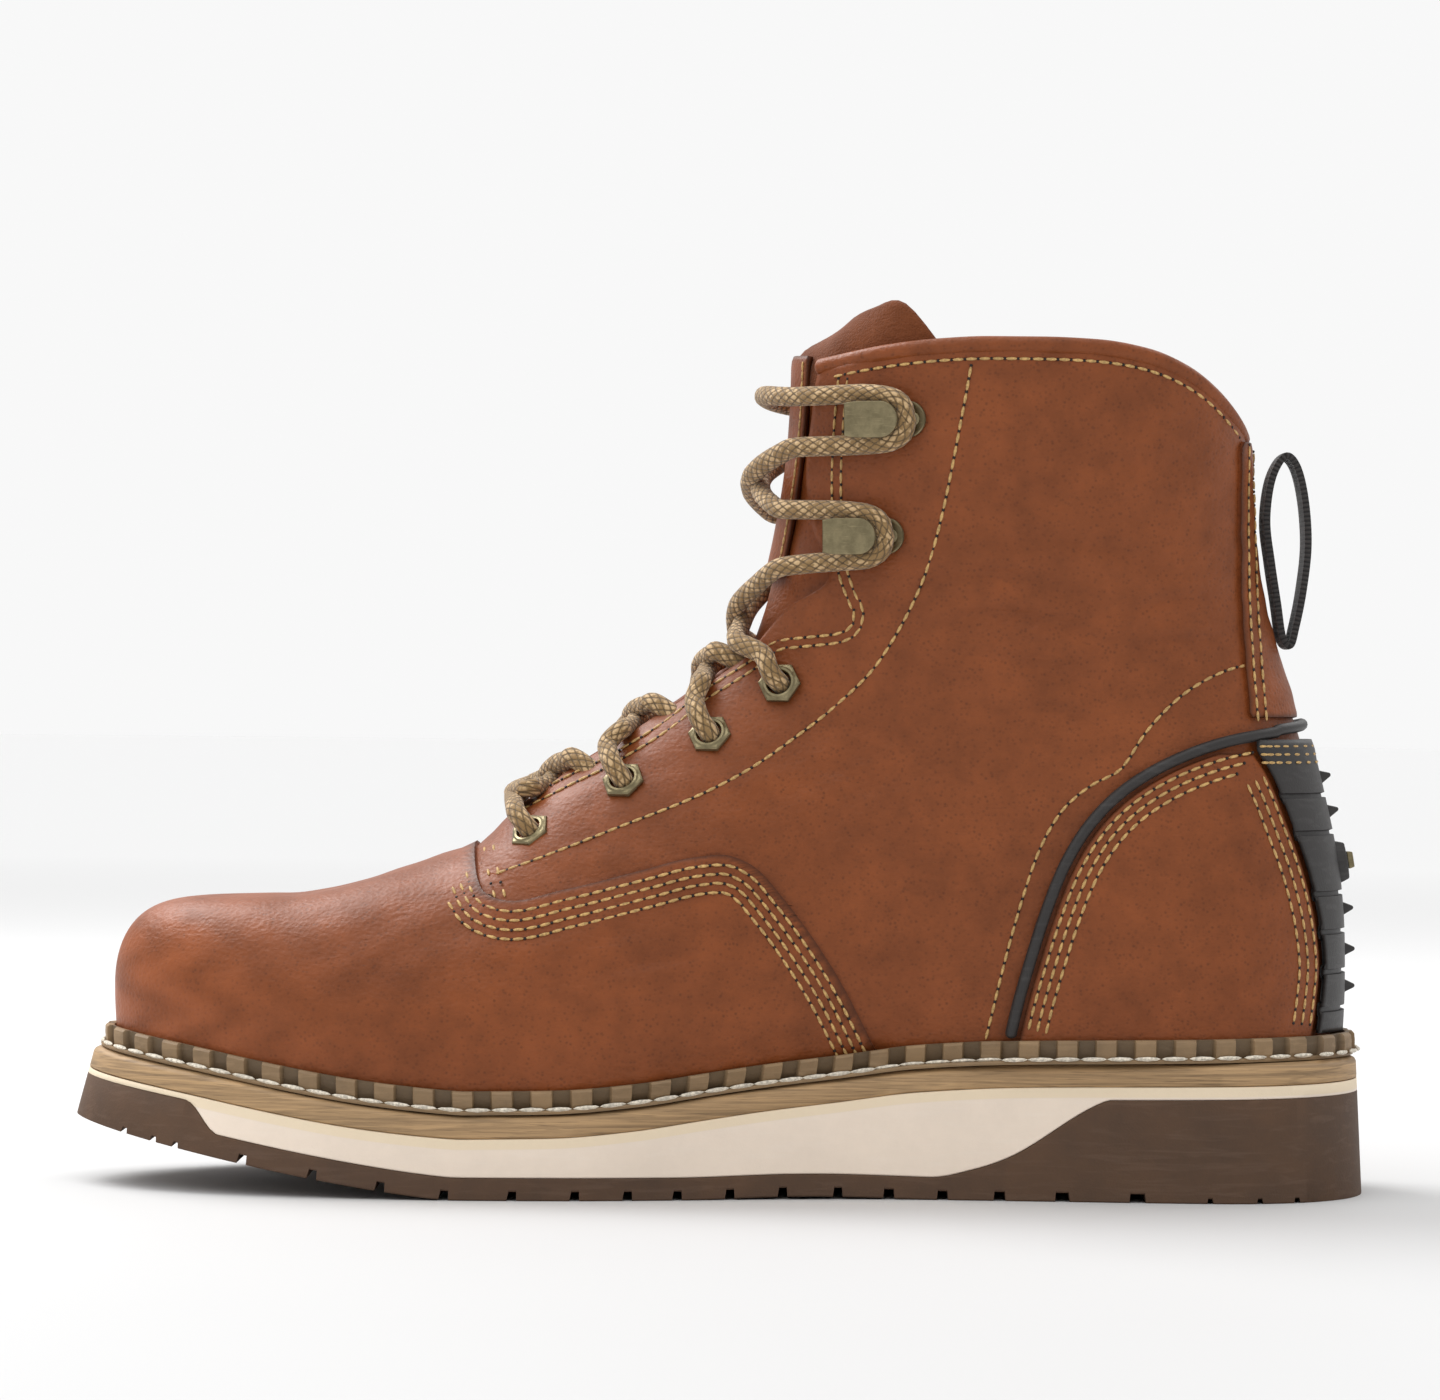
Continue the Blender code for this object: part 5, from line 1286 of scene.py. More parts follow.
class SoleMaker(bpy.types.Operator):
    """Tread, cream midsole, tan slab and footbed"""

    bl_idname = "boot.sole"
    bl_label = "Sole"

    def execute(self, context):
        breaks = []
        for x, wide in SIDE_SLOTS:
            half = wide / 2
            for step in (-half - 0.25, -half, half, half + 0.25):
                breaks.append(((x + step) * MM + SOLE_LENGTH / 2) / SOLE_LENGTH)
        at = stations(*breaks)
        x = -SOLE_LENGTH / 2 + at * SOLE_LENGTH
        notch = np.zeros(len(at))
        for centre, wide in SIDE_SLOTS:
            deep = GROOVE_DEPTH * (1.25 if wide > 1.5 else 0.7)
            inside = np.abs(x - centre * MM) < (wide / 2 + 0.1) * MM
            notch[inside] = deep
        low, high = sole_bottom(at), tread_top(at)
        layer("tread", at, low, high, "brown", "brown_rubber", "outsole", notch=notch)
        at = stations(*TREAD_RISE.at[1:-1])
        low, high = tread_top(at) + 0.05 * MM, sole_top(at) - SLAB
        layer("midsole", at, low, high, "cream", "cream_foam", "cream_midsole", 0.25 * MM)
        self.slab()
        self.footbed()
        return {"FINISHED"}

    def slab(self):
        at = stations()
        low = sole_top(at) - SLAB + 0.05 * MM
        side = sole_top(at) - SLAB_BEVEL
        high = sole_top(at) - WELT_FLANGE_THICKNESS - GAP
        total = sole_top(at) - sole_bottom(at)
        ends = np.cos(math.pi * at) ** 8 * np.sign(0.5 - at)
        rows = []
        levels = (
            (low, 0.4), (low + 0.35 * MM, 0), (side - 0.4 * MM, 0), (side + 0.2 * MM, 0.25), (high, 1.8),
        )
        for name, order in (("inner", levels), ("outer", levels[::-1])):
            for z, inset in order:
                up = np.minimum((z - sole_bottom(at)) / total, 1)
                point = drawn_in(sole_point(at, name, up, z), inset * MM)
                point[:, 0] += inset * MM * ends
                rows.append(point)
        rows.append(rows[0])
        work = welded(sheet(np.array(rows)), LOOSE_WELD)
        finished("slab", work, [MADE["slab"]], "tan_rubber", ("top_midsole",), 50)

    def footbed(self):
        at = stations()
        x = UPPER_TOE + WALL + 3 * GAP + at * (UPPER_HEEL - UPPER_TOE - 2 * (WALL + 3 * GAP))
        ledge = FEATHER_LEDGE + WALL + 4 * GAP
        rows = []
        shape = ((0, 0), (1, 0), (1, -0.8), (1.05, -8), (0.94, -20))
        for side, order in (("inner", shape), ("outer", shape[::-1])):
            for up, inset in order:
                y = np.maximum(0.97 * half_width(at, side, ledge) + inset * MM, 0)
                z = feather_height(x) + up * INSOLE_THICKNESS
                rows.append(np.stack([x, -y if side == "inner" else y, z], axis=1))
        rows.append(rows[0])
        work = welded(sheet(np.array(rows)), LOOSE_WELD)
        finished("footbed", work, [MADE["lining"]], "footbed", ("insole",))


def block_profile(where, length, blocks):
    """How far the welt's blocks stand out at shares of its length: 0 between them and 1 on them."""
    place = where * blocks % 1 - 0.5
    reach = np.abs(place) * length / blocks
    return np.clip((BLOCK_WIDTH / 2 + 0.25 * MM - reach) / (0.5 * MM), 0, 1)


class WeltMaker(bpy.types.Operator):
    """Storm welt with its rounded blocks, and the pale stitches at their feet"""

    bl_idname = "boot.welt"
    bl_label = "Welt"

    def execute(self, context):
        length = path_length(closed(FEATHER_RING))
        blocks = round(length / BLOCK_PITCH)
        half = BLOCK_WIDTH / 2 / length
        soft = 0.25 * MM / length
        steps = (
            -half - soft, -half, -half + soft, -half / 2, 0, half / 2, half - soft, half, half + soft,
            0.5 / blocks,
        )
        where = sorted((block + 0.5) / blocks + step for block in range(blocks) for step in steps)
        where = np.clip(np.array(where), 0, 1)
        stands = block_profile(where, length, blocks) * BLOCK_DEPTH
        inner = 1.6 * GAP + covering(feather_path(0.0, 0.0, where)[:, 0])
        rib = inner + WELT_RIB
        edge = GAP + WELT_RIB + WELT_FLANGE
        face = (
            (inner, -WELT_FLANGE_THICKNESS),
            (edge, -WELT_FLANGE_THICKNESS),
            (edge + 0.15 * MM, -WELT_FLANGE_THICKNESS / 2),
            (edge, 0.0),
            (rib + stands * 1.08, 0.0),
            (rib + stands * 1.02, 0.5 * MM),
            (rib + stands, WELT_HEIGHT * 0.5),
            (rib + stands * 0.85, WELT_HEIGHT - 0.7 * MM),
            (rib + stands * 0.45, WELT_HEIGHT - 0.1 * MM),
            (rib * 0.5 + inner * 0.5, WELT_HEIGHT),
            (inner, WELT_HEIGHT - 0.2 * MM),
        )
        points = closed(np.array([feather_path(out, up, where) for out, up in face]))
        points = np.concatenate([points, points[:, :1]], axis=1)
        rib_foot, rib_top = 4, 9
        work = sheet(points)
        # Painted shade between the blocks: 1 in the recesses, 0 on the blocks
        recess_shade = work.verts.layers.float.new("recess_shade")
        work.verts.ensure_lookup_table()
        for index, corner in enumerate(work.verts):
            row, column = divmod(index, points.shape[1])
            if rib_foot <= row <= rib_top:
                corner[recess_shade] = 1 - stands[column % len(where)] / BLOCK_DEPTH
        finished("storm_welt", welded(work), [MADE["welt"]], "tan_rubber", ("welt",), 35)
        count = round(length / sizes().sole_stitch)
        at = (np.arange(count) + 0.5) / count
        out = 1.6 * GAP + covering(feather_path(0.0, 0.0, at)[:, 0]) + WELT_RIB + BLOCK_DEPTH + 0.75 * MM
        here = feather_path(out, 0.25 * MM, at)
        ahead = feather_path(out, 0.25 * MM, (at + 0.001) % 1)
        pair = np.linalg.norm(ahead - here, axis=1) < 5 * MM
        upright = np.broadcast_to((0.0, 0.0, 1.0), here.shape)
        places = (here[pair], (ahead - here)[pair], upright[pair])
        work = stitched(places, 1.02 * sizes().sole_stitch, 1.35 * MM)
        finished("welt_stitches", work, [MADE["welt thread"]])
        return {"FINISHED"}


def stitched(places, length, thick):
    """Many stitches as one mesh, from the point, the way and the normal of each."""
    whole = bmesh.new()
    places = list(zip(*places))
    for first in range(0, len(places), STITCHES_PER_BATCH):
        some = bmesh.new()
        for point, way, normal in places[first : first + STITCHES_PER_BATCH]:
            add_stitch(some, point, way, normal, length, thick)
        join(whole, some)
    return whole


def add_stitch(work, point, way, normal, length, thick):
    """One stitch: a small capsule that lies along the seam and sinks at its ends."""
    x = Vector(way).normalized()
    z = Vector(normal)
    z = (z - x * z.dot(x)).normalized()
    y = z.cross(x)
    turn = Matrix((x, y, z)).transposed().to_4x4()
    size = Matrix.Diagonal((length / 2, thick / 2, thick / 2 * 0.85, 1))
    place = Matrix.Translation(Vector(point)) @ turn @ Matrix.Rotation(math.pi / 2, 4, "Y")
    stretch = Matrix.Rotation(-math.pi / 2, 4, "Y") @ size @ Matrix.Rotation(math.pi / 2, 4, "Y")
    bmesh.ops.create_uvsphere(work, u_segments=6, v_segments=4, radius=1, matrix=place @ stretch)


def seam_rows():
    """Every row of stitches on the upper: its path, and how far the leather there stands out."""
    gap = sizes().row_gap
    rows = []
    edge = seen(VAMP_EDGE, 90)
    for number in range(4):
        path = beside(edge, 2.4 * MM + gap * number)
        start = np.argmax(path[:, 1] < (0.370 - 0.0075 * number) * COLLAR_HEIGHT)
        path = path[start:]
        rows.append((path[path[:, 1] > feather_height(path[:, 0]) + WELT_HEIGHT], OVERLAY))
    rows.append((even_path(from_photo(EYESTAY_SINGLE), 80), 0.0))
    for shift in (0, gap):
        rows.append((beside(even_path(from_photo((*EYESTAY_EDGE, *SHAFT_EDGE)), 120), shift), 0.0))
    rows.extend((even_path(from_photo(pixels), 20), 0.0) for pixels in EYESTAY_FRONT)
    rows.append((even_path(from_photo(COUNTER_ROW), 80), 0.0))
    piping = seen(PIPING_PATH, 80)
    piping = piping[piping[:, 1] > SEAM_FOOT]
    for number in range(3):
        path = beside(piping, PIPING_RADIUS + 3 * GAP + 1.5 * MM + gap * number)
        path = path[path[:, 0] < (0.398 - 0.006 * number) * SOLE_LENGTH]
        rows.append((path, POCKET + GAP))
    back = seen(POCKET_BACK, 60)
    back = back[back[:, 1] > SEAM_FOOT]
    for number in range(3):
        rows.append((beside(back, 1.4 * MM + gap * number)[6:], POCKET + GAP))
    stay = seen(BACKSTAY_EDGE, 60)
    for number in range(2):
        path = beside(stay, 1.5 * MM + gap * number)
        rows.append((path[path[:, 1] < collar_line(path[:, 0]) - 3 * MM], OVERLAY))
    x = np.linspace(0.085, 0.392, 90) * SOLE_LENGTH
    rows.append((np.column_stack([x, collar_line(x) - 2.4 * MM]), 0.0))
    return rows


def stitch_places():
    """Where each stitch of the upper lies on both sides: its point, its way and its normal."""
    points, ways, normals = [], [], []
    for path, lift in seam_rows():
        count = max(2, round(path_length(path) / sizes().stitch))
        even = even_path(path, count)
        for side in (-1, 1):
            place = on_upper(even[:, 0], even[:, 1], side, lift + STITCH_LIFT)
            points.append(place)
            ways.append(np.gradient(place, axis=0))
            normals.append(last_normal(place))
    return np.concatenate(points), np.concatenate(ways), np.concatenate(normals)


def beside_line(far):
    """Corners of a closed grid that move onto an outline: the nearer end of each edge that crosses it."""
    near = np.zeros(far.shape, bool)
    for axis in (0, 1):
        ahead = np.roll(far, -1, axis=axis)
        crossing = far * ahead < 0
        if axis == 0:
            crossing[-1] = False
        first = crossing & (np.abs(far) <= np.abs(ahead))
        near |= first | np.roll(crossing & ~first, 1, axis=axis)
    return near


class UpperMaker(bpy.types.Operator):
    """Vamp, quarters and backstay as one leather wall with its creases and lining"""

    bl_idname = "boot.upper"
    bl_label = "Upper"

    def execute(self, context):
        rows, columns = ((6, 11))
        grid = finer_grid(GRID, rows, columns, True)
        grid = settle(grid, steps=3)
        cells = np.repeat(np.repeat(LEATHER, rows, axis=0), columns, axis=1)
        beyond, below = 0.6 * SOLE_LENGTH, -10 * MM
        edge = seen(VAMP_EDGE, 70)
        vamp = [*edge, (edge[-1][0], below), (-beyond, below), (-beyond, edge[0][1])]
        edge = seen(BACKSTAY_EDGE, 20)
        stay = [*edge, (beyond, edge[-1][1]), (beyond, edge[0][1])]
        reach = {}
        for name, outline in (("vamp", vamp), ("stay", stay)):
            for _ in range(2):
                far, nearest = signed_reach(outline, grid[..., 0], grid[..., 2])
                near = beside_line(far)
                near[0] = False
                moved = grid[near]
                moved[:, 0], moved[:, 2] = nearest[near].T
                grid[near] = settle(moved, steps=3)
            far = signed_reach(outline, grid[..., 0], grid[..., 2])[0]
            reach[name] = np.where(near, 0, far)
        normal = last_normal(grid)
        relief, wear_and_highlight = self.relief(grid)
        grid = grid + normal * relief[..., None]
        self.build(grid, normal, cells, reach, wear_and_highlight)
        return {"FINISHED"}

    def relief(self, grid):
        """Creases pressed into the leather, and where the toe is lighter, from scuffing and a painted
        highlight.
        """
        x, z = grid[..., 0], grid[..., 2]
        sink = np.zeros(x.shape)
        for pixels, wide, deep in CREASES:
            path = even_path(from_photo(pixels), 24)
            far = np.full(x.shape, 1.0)
            share = np.zeros(x.shape)
            for number, (px, pz) in enumerate(path):
                here = np.hypot(x - px, z - pz)
                nearer = here < far
                far = np.where(nearer, here, far)
                share = np.where(nearer, number / (len(path) - 1), share)
            fade = np.sin(math.pi * np.clip(share, 0.02, 0.98)) ** 0.7
            far = far / (wide * 0.5 * MM)
            sink -= deep * MM * fade * (np.exp(-(far**2)) - 0.42 * np.exp(-((far - 2.0) ** 2)))
        sink *= np.clip((np.abs(grid[..., 1]) - 12 * MM) / (10 * MM), 0, 1)
        wave = 0.22 * MM * np.sin(x * 210 + 3 * np.sin(z * 160)) * np.sin(z * 260 + 2 * np.sin(x * 120))
        up = (grid[..., 2] - feather_height(x)) / (60 * MM)
        toe = np.clip((-80 * MM - x) / (50 * MM), 0, 1)
        patches = 0.5 * (1 + np.sin(x * 330 + 2 * np.sin(z * 410)))
        # Lighter patches on the toe: scuffing, and a painted highlight
        wear_and_highlight = toe * np.clip(1.2 - up, 0, 1) * patches
        return sink + wave * (1 - toe), wear_and_highlight * 0.45

    def build(self, grid, normal, cells, reach, wear_and_highlight):
        """The wall of the upper, its openings cut and its overlays raised."""
        wrapped = np.concatenate([grid, grid[:, :1]], axis=1)
        wide = wrapped.shape[1]
        work = sheet(wrapped)
        facing_out(work)
        layers = work.verts.layers
        # The third layer holds the toe's lighter patches: scuffing and a painted highlight
        vamp, stay, rubbed = (layers.float.new(name) for name in ("vamp", "stay", "wear_and_highlight"))
        out = layers.float_vector.new("out")
        work.verts.ensure_lookup_table()
        for index, corner in enumerate(work.verts):
            row, column = divmod(index, wide)
            column %= wide - 1
            corner[vamp] = reach["vamp"][row, column]
            corner[stay] = reach["stay"][row, column]
            corner[rubbed] = wear_and_highlight[row, column]
            corner[out] = normal[row, column]
        work.faces.ensure_lookup_table()
        open_faces = [work.faces[k] for k, leather in enumerate(cells.reshape(-1)) if not leather]
        bmesh.ops.delete(work, geom=open_faces, context="FACES")
        bmesh.ops.remove_doubles(work, verts=work.verts, dist=0.002 * MM)
        edge = layers.float.new("edge")
        for key in (vamp, stay):
            self.raise_overlay(work, key, out, edge)
        for kind, name in ((layers.float, "vamp"), (layers.float, "stay"), (layers.float_vector, "out")):
            kind.remove(kind[name])
        materials = [MADE["leather"], MADE["lining"]]
        piece = finished("upper_leather", work, materials, "tan_leather", ("upper",), 50)
        with_wall(piece, WALL, lining=1)

    def raise_overlay(self, work, key, out, edge):
        """Splits the faces that the overlay's outline crosses, and lifts the inside of it by a step."""
        for face in list(work.faces):
            signs = [corner[key] for corner in face.verts]
            if min(signs) < 0 < max(signs) and len(face.verts) == 4:
                zero = [corner for corner in face.verts if corner[key] == 0]
                if len(zero) == 2:
                    bmesh.utils.face_split(face, zero[0], zero[1])
        reaches = {face: [corner[key] for corner in face.verts] for face in work.faces}
        inside = [face for face, far in reaches.items() if min(far) >= 0 and max(far) > 0]
        made = bmesh.ops.extrude_face_region(work, geom=inside)["geom"]
        bmesh.ops.delete(work, geom=inside, context="FACES")
        for corner in made:
            if isinstance(corner, bmesh.types.BMVert):
                rounded = min(corner[key] / (1.3 * MM), 1)
                corner.co += Vector(corner[out]) * (OVERLAY - 0.35 * MM * (1 - rounded) ** 2)
                corner[edge] = max(corner[edge], 1 - min(corner[key] / (0.9 * MM), 1))


class SeamMaker(bpy.types.Operator):
    """Golden stitches of the upper, on both sides, and painted shade of the needle holes between them"""

    bl_idname = "boot.seams"
    bl_label = "Seams"

    def execute(self, context):
        points, ways, normals = stitch_places()
        work = stitched((points, ways, normals), 0.9 * sizes().stitch, sizes().thread)
        finished("upper_stitches", work, [MADE["thread"]])
        # Painted shade: small dark capsules sunk between the stitches stand for the shade inside the needle
        # holes
        between = points + ways / 2 - normals * 0.12 * MM
        holes = stitched((between, ways, normals), 0.75 * MM, 0.85 * MM)
        finished("needle_hole_shade", holes, [MADE["hole"]])
        return {"FINISHED"}


class CounterMaker(bpy.types.Operator):
    """Leather pockets on the sides of the heel, and the black piping round them"""

    bl_idname = "boot.counter"
    bl_label = "Counter"

    def execute(self, context):
        front = beside(seen(PIPING_PATH, 160), PIPING_RADIUS + 3 * GAP)
        back = seen(POCKET_BACK, 160)
        low, high = 36 * MM, 0.526 * COLLAR_HEIGHT
        z = low + (high - low) * (1 - (1 - np.linspace(0, 1, 70)) ** 1.35)
        start = np.interp(z, front[:, 1], front[:, 0])
        end = np.interp(z, back[::-1, 1], back[::-1, 0])
        share = (1 - np.cos(math.pi * np.linspace(0, 1, 46))) / 2
        x = start[:, None] + (end - start)[:, None] * share
        heights = np.broadcast_to(z[:, None], x.shape)
        for side, name in ((-1, "inner"), (1, "outer")):
            inset = np.minimum.reduce([x - start[:, None], end[:, None] - x, high - heights])
            soft = 0.5 * MM * (1 - np.clip(inset / (1.4 * MM), 0, 1)) ** 2
            points = on_upper(x, heights, side, GAP + POCKET - soft)
            work = facing_out(sheet(points))
            edge = work.verts.layers.float.new("edge")
            work.verts.ensure_lookup_table()
            for corner, far in zip(work.verts, inset.reshape(-1)):
                corner[edge] = 1 - min(max(far, 0) / (0.8 * MM), 1)
            node_name = "counter_pocket_" + name
            piece = finished("pocket_" + name, work, [MADE["leather"]], "tan_leather", (node_name,))
            with_wall(piece, POCKET)
        path = seen(PIPING_PATH, 60)
        path = path[path[:, 1] > feather_height(path[:, 0]) + WELT_HEIGHT + GAP]
        offset = GAP + PIPING_RADIUS
        inner, outer = (on_upper(path[:, 0], path[:, 1], side, offset) for side in (-1, 1))
        angle = math.pi * np.linspace(0, 1, 40)[1:-1]
        around = (inner[-1] + outer[-1]) / 2 + np.outer(np.sin(angle), (22 * MM, 0, 1.5 * MM))
        around[:, 1] = inner[-1][1] * np.cos(angle)
        around = settle(around, free=(1, 1, 0))
        around += last_normal(around) * offset
        whole = np.array([*inner, *around, *outer[::-1]])
        work = rods([whole], PIPING_RADIUS)
        finished("counter_piping", work, [MADE["black"]], "black_rubber", ("piping",))
        return {"FINISHED"}


class GuardMaker(bpy.types.Operator):
    """Ribbed rubber guard at the back of the heel, its studs and its boss"""

    bl_idname = "boot.guard"
    bl_label = "Heel guard"

    def execute(self, context):
        edge = seen(POCKET_BACK, 120)
        top = PIPING_PATH[-1][1] * COLLAR_HEIGHT - PIPING_RADIUS - 2 * GAP
        low = feather_height(0.45 * SOLE_LENGTH) + WELT_HEIGHT + 2 * GAP
        levels = set(np.linspace(low, top, 60).round(5))
        step = GUARD_RIB_GAP / 2
        for share in RIBS:
            z = share * COLLAR_HEIGHT
            levels |= {round(z + s, 5) for s in (-step - 0.15 * MM, -step, step, step + 0.15 * MM)}
        z = np.array(sorted(levels))
        grooved = np.zeros(len(z))
        for share in RIBS:
            grooved[np.abs(z - share * COLLAR_HEIGHT) <= step + 0.01 * MM] = 1
        start = np.interp(z, edge[::-1, 1], edge[::-1, 0]) + 2 * GAP
        back = np.column_stack([np.full(len(z), BEHIND_HEEL), np.zeros(len(z)), z])
        back = settle(back, free=(1, 0, 0))
        turn = np.linspace(-1, 1, 57)
        rows = []
        sides = [on_upper(start, z, side)[:, 1] for side in (-1, 1)]
        for k, height in enumerate(z):
            wide = np.where(turn < 0, sides[0][k], sides[1][k])
            angle = np.abs(turn) * math.pi / 2
            x = start[k] + (back[k, 0] - start[k]) * np.cos(angle)
            rows.append(np.column_stack([x, wide * np.sin(angle), np.full(len(turn), height)]))
        points = settle(np.array(rows), free=(1, 1, 0), steps=14)
        normal = last_normal(points)
        stand = points[..., 0] + normal[..., 0] * (GAP + GUARD_THICKNESS)
        deep = np.clip(stand - back[:, None, 0] - 1.4 * MM, 0.7 * MM, 1.5 * MM) * grooved[:, None]
        rim = np.minimum(1 - np.abs(turn), 0.06) / 0.06
        lip = 0.5 * MM * np.exp(-(((z - top + 2.2 * MM) / (1.8 * MM)) ** 2))
        offset = GAP + GUARD_THICKNESS - deep - 0.7 * MM * (1 - rim) ** 2 + lip[:, None] * 0.5
        face = points + normal * offset[..., None]
        work = facing_out(sheet(face))
        piece = finished("guard_shell", work, [MADE["black"]], "black_rubber", ("heel_guard",), 30)
        with_wall(piece, GUARD_THICKNESS - 0.9 * MM)
        trim = bmesh.new()
        for share in STUD_LEVELS:
            self.cone(trim, share, 4, STUD_WIDTH / 2, 0.5 * MM, STUD_HEIGHT, 0, 0.35 * MM)
        self.cone(trim, BOSS_LEVEL, 6, 6.2 * MM, 5 * MM, 2 * MM, 0, 0.4 * MM)
        finished("guard_studs", trim, [MADE["black"]], "black_rubber", (), 30)
        cap = bmesh.new()
        self.cone(cap, BOSS_LEVEL, 4, 3 * MM, 2.6 * MM, 1.4 * MM, 2 * MM + GAP, 0.25 * MM)
        finished("boss_square", cap, [MADE["brass"]], "aged_brass", ("boss_cap",), 30)
        rows = bmesh.new()
        for number in range(3):
            self.lip_row(rows, top - (1.6 + 1.9 * number) * MM)
        finished("guard_stitches", rows, [MADE["thread"]])
        return {"FINISHED"}

    def lip_row(self, work, z):
        """Stitches round the guard's upper lip."""
        angle = np.linspace(-0.94, 0.94, 15) * math.pi / 2
        x = 0.412 * SOLE_LENGTH + 8 * MM * np.cos(angle)
        points = np.column_stack([x, 26 * MM * np.sin(angle), np.full(len(angle), z)])
        points = settle(points, free=(1, 1, 0))
        normal = last_normal(points)
        points = points + normal * (GAP + GUARD_THICKNESS + 0.12 * MM)
        for point, way, out in zip(points, np.gradient(points, axis=0), normal):
            add_stitch(work, point, way, out, *SMALL_STITCH)

    def cone(self, work, share, corners, low_radius, high_radius, height, lift, soft):
        """A pointed or flat topped form on the guard's middle line, its edges rounded."""
        point = settle(np.array([BEHIND_HEEL, 0, share * COLLAR_HEIGHT]), free=(1, 0, 0))
        normal = Vector(last_normal(point))
        sunk = 0.0 if lift else 1.2 * MM
        part = bmesh.new()
        depth = height + sunk
        bmesh.ops.create_cone(
            part, cap_ends=True, segments=corners, radius1=low_radius, radius2=high_radius, depth=depth
        )
        bmesh.ops.bevel(
            part, geom=part.edges, offset=soft, segments=2, profile=0.5, affect="EDGES", material=-1
        )
        bmesh.ops.rotate(part, verts=part.verts, matrix=Matrix.Rotation(math.pi / corners, 3, "Z"))
        middle = GAP + GUARD_THICKNESS + lift + (height - sunk) / 2
        place = Matrix.Translation(Vector(point) + normal * middle)
        turn = normal.to_track_quat("Z", "Y").to_matrix().to_4x4()
        bmesh.ops.transform(part, matrix=place @ turn, verts=part.verts)
        join(work, part)


class CollarMaker(bpy.types.Operator):
    """Rolled leather edge of the collar and the webbing loop behind it"""

    bl_idname = "boot.collar"
    bl_label = "Collar"

    def execute(self, context):
        half = COLUMNS_PER_SIDE
        middle = GRID[-1] - NORMALS[-1] * WALL / 2
        middle[:, 2] += 0.55 * BINDING_RADIUS
        path = even_path(middle[THROAT_COLUMN : 2 * half - THROAT_COLUMN + 1], 150)
        work = rods([path], BINDING_RADIUS * 1.12, 14, 1.15)
        finished("collar_roll", work, [MADE["leather"]], "tan_leather", ("collar_binding",), 60)
        self.loop()
        return {"FINISHED"}

    def loop(self):
        """The pull loop: a flat band with rounded edges along a bent ring."""
        foot = settle(np.array([0.44 * SOLE_LENGTH, 0, 0.665 * COLLAR_HEIGHT]), free=(1, 0, 0))
        low = foot + last_normal(foot) * (OVERLAY + 1.5 * GAP)
        shape = (
            (0.1, 0.0), (-1.2, 8.0), (-2.8, 18.0), (-4.0, 28.0), (-2.8, 38.0), (0.3, 43.5),
            (3.2, 41.0), (5.2, 33.0), (6.0, 22.0), (4.9, 11.0), (3.3, 2.5), (2.0, -2.0),
        )
        centre = np.array([(low[0] + (0.9 + u) * MM, low[2] + v * MM) for u, v in shape])
        centre = finer(centre, 8, True)
        way = np.roll(centre, -1, axis=0) - np.roll(centre, 1, axis=0)
        out = unit(np.column_stack([way[:, 1], -way[:, 0]])) * (LOOP_THICKNESS / 2)
        wide = LOOP_WIDTH / 2
        section = ((-1, -0.4), (-0.97, -0.9), (-0.5, -1), (0, -1), (0.5, -1), (0.97, -0.9), (1, -0.4))
        section = [(share * wide, n) for share, n in section]
        section = [*section, *((y, -n) for y, n in reversed(section)), section[0]]
        rows, places = [], []
        for here, aside, length in zip(closed(centre), closed(out), path_places(closed(centre))):
            rows.append([(here[0] + aside[0] * n, y, here[1] + aside[1] * n) for y, n in section])
            places.append([(y, length) for y, _ in section])
        work = welded(sheet(np.array(rows), np.array(places)))
        finished("webbing_loop", work, [MADE["webbing"]], "black_webbing", ("pull_loop",), 50)


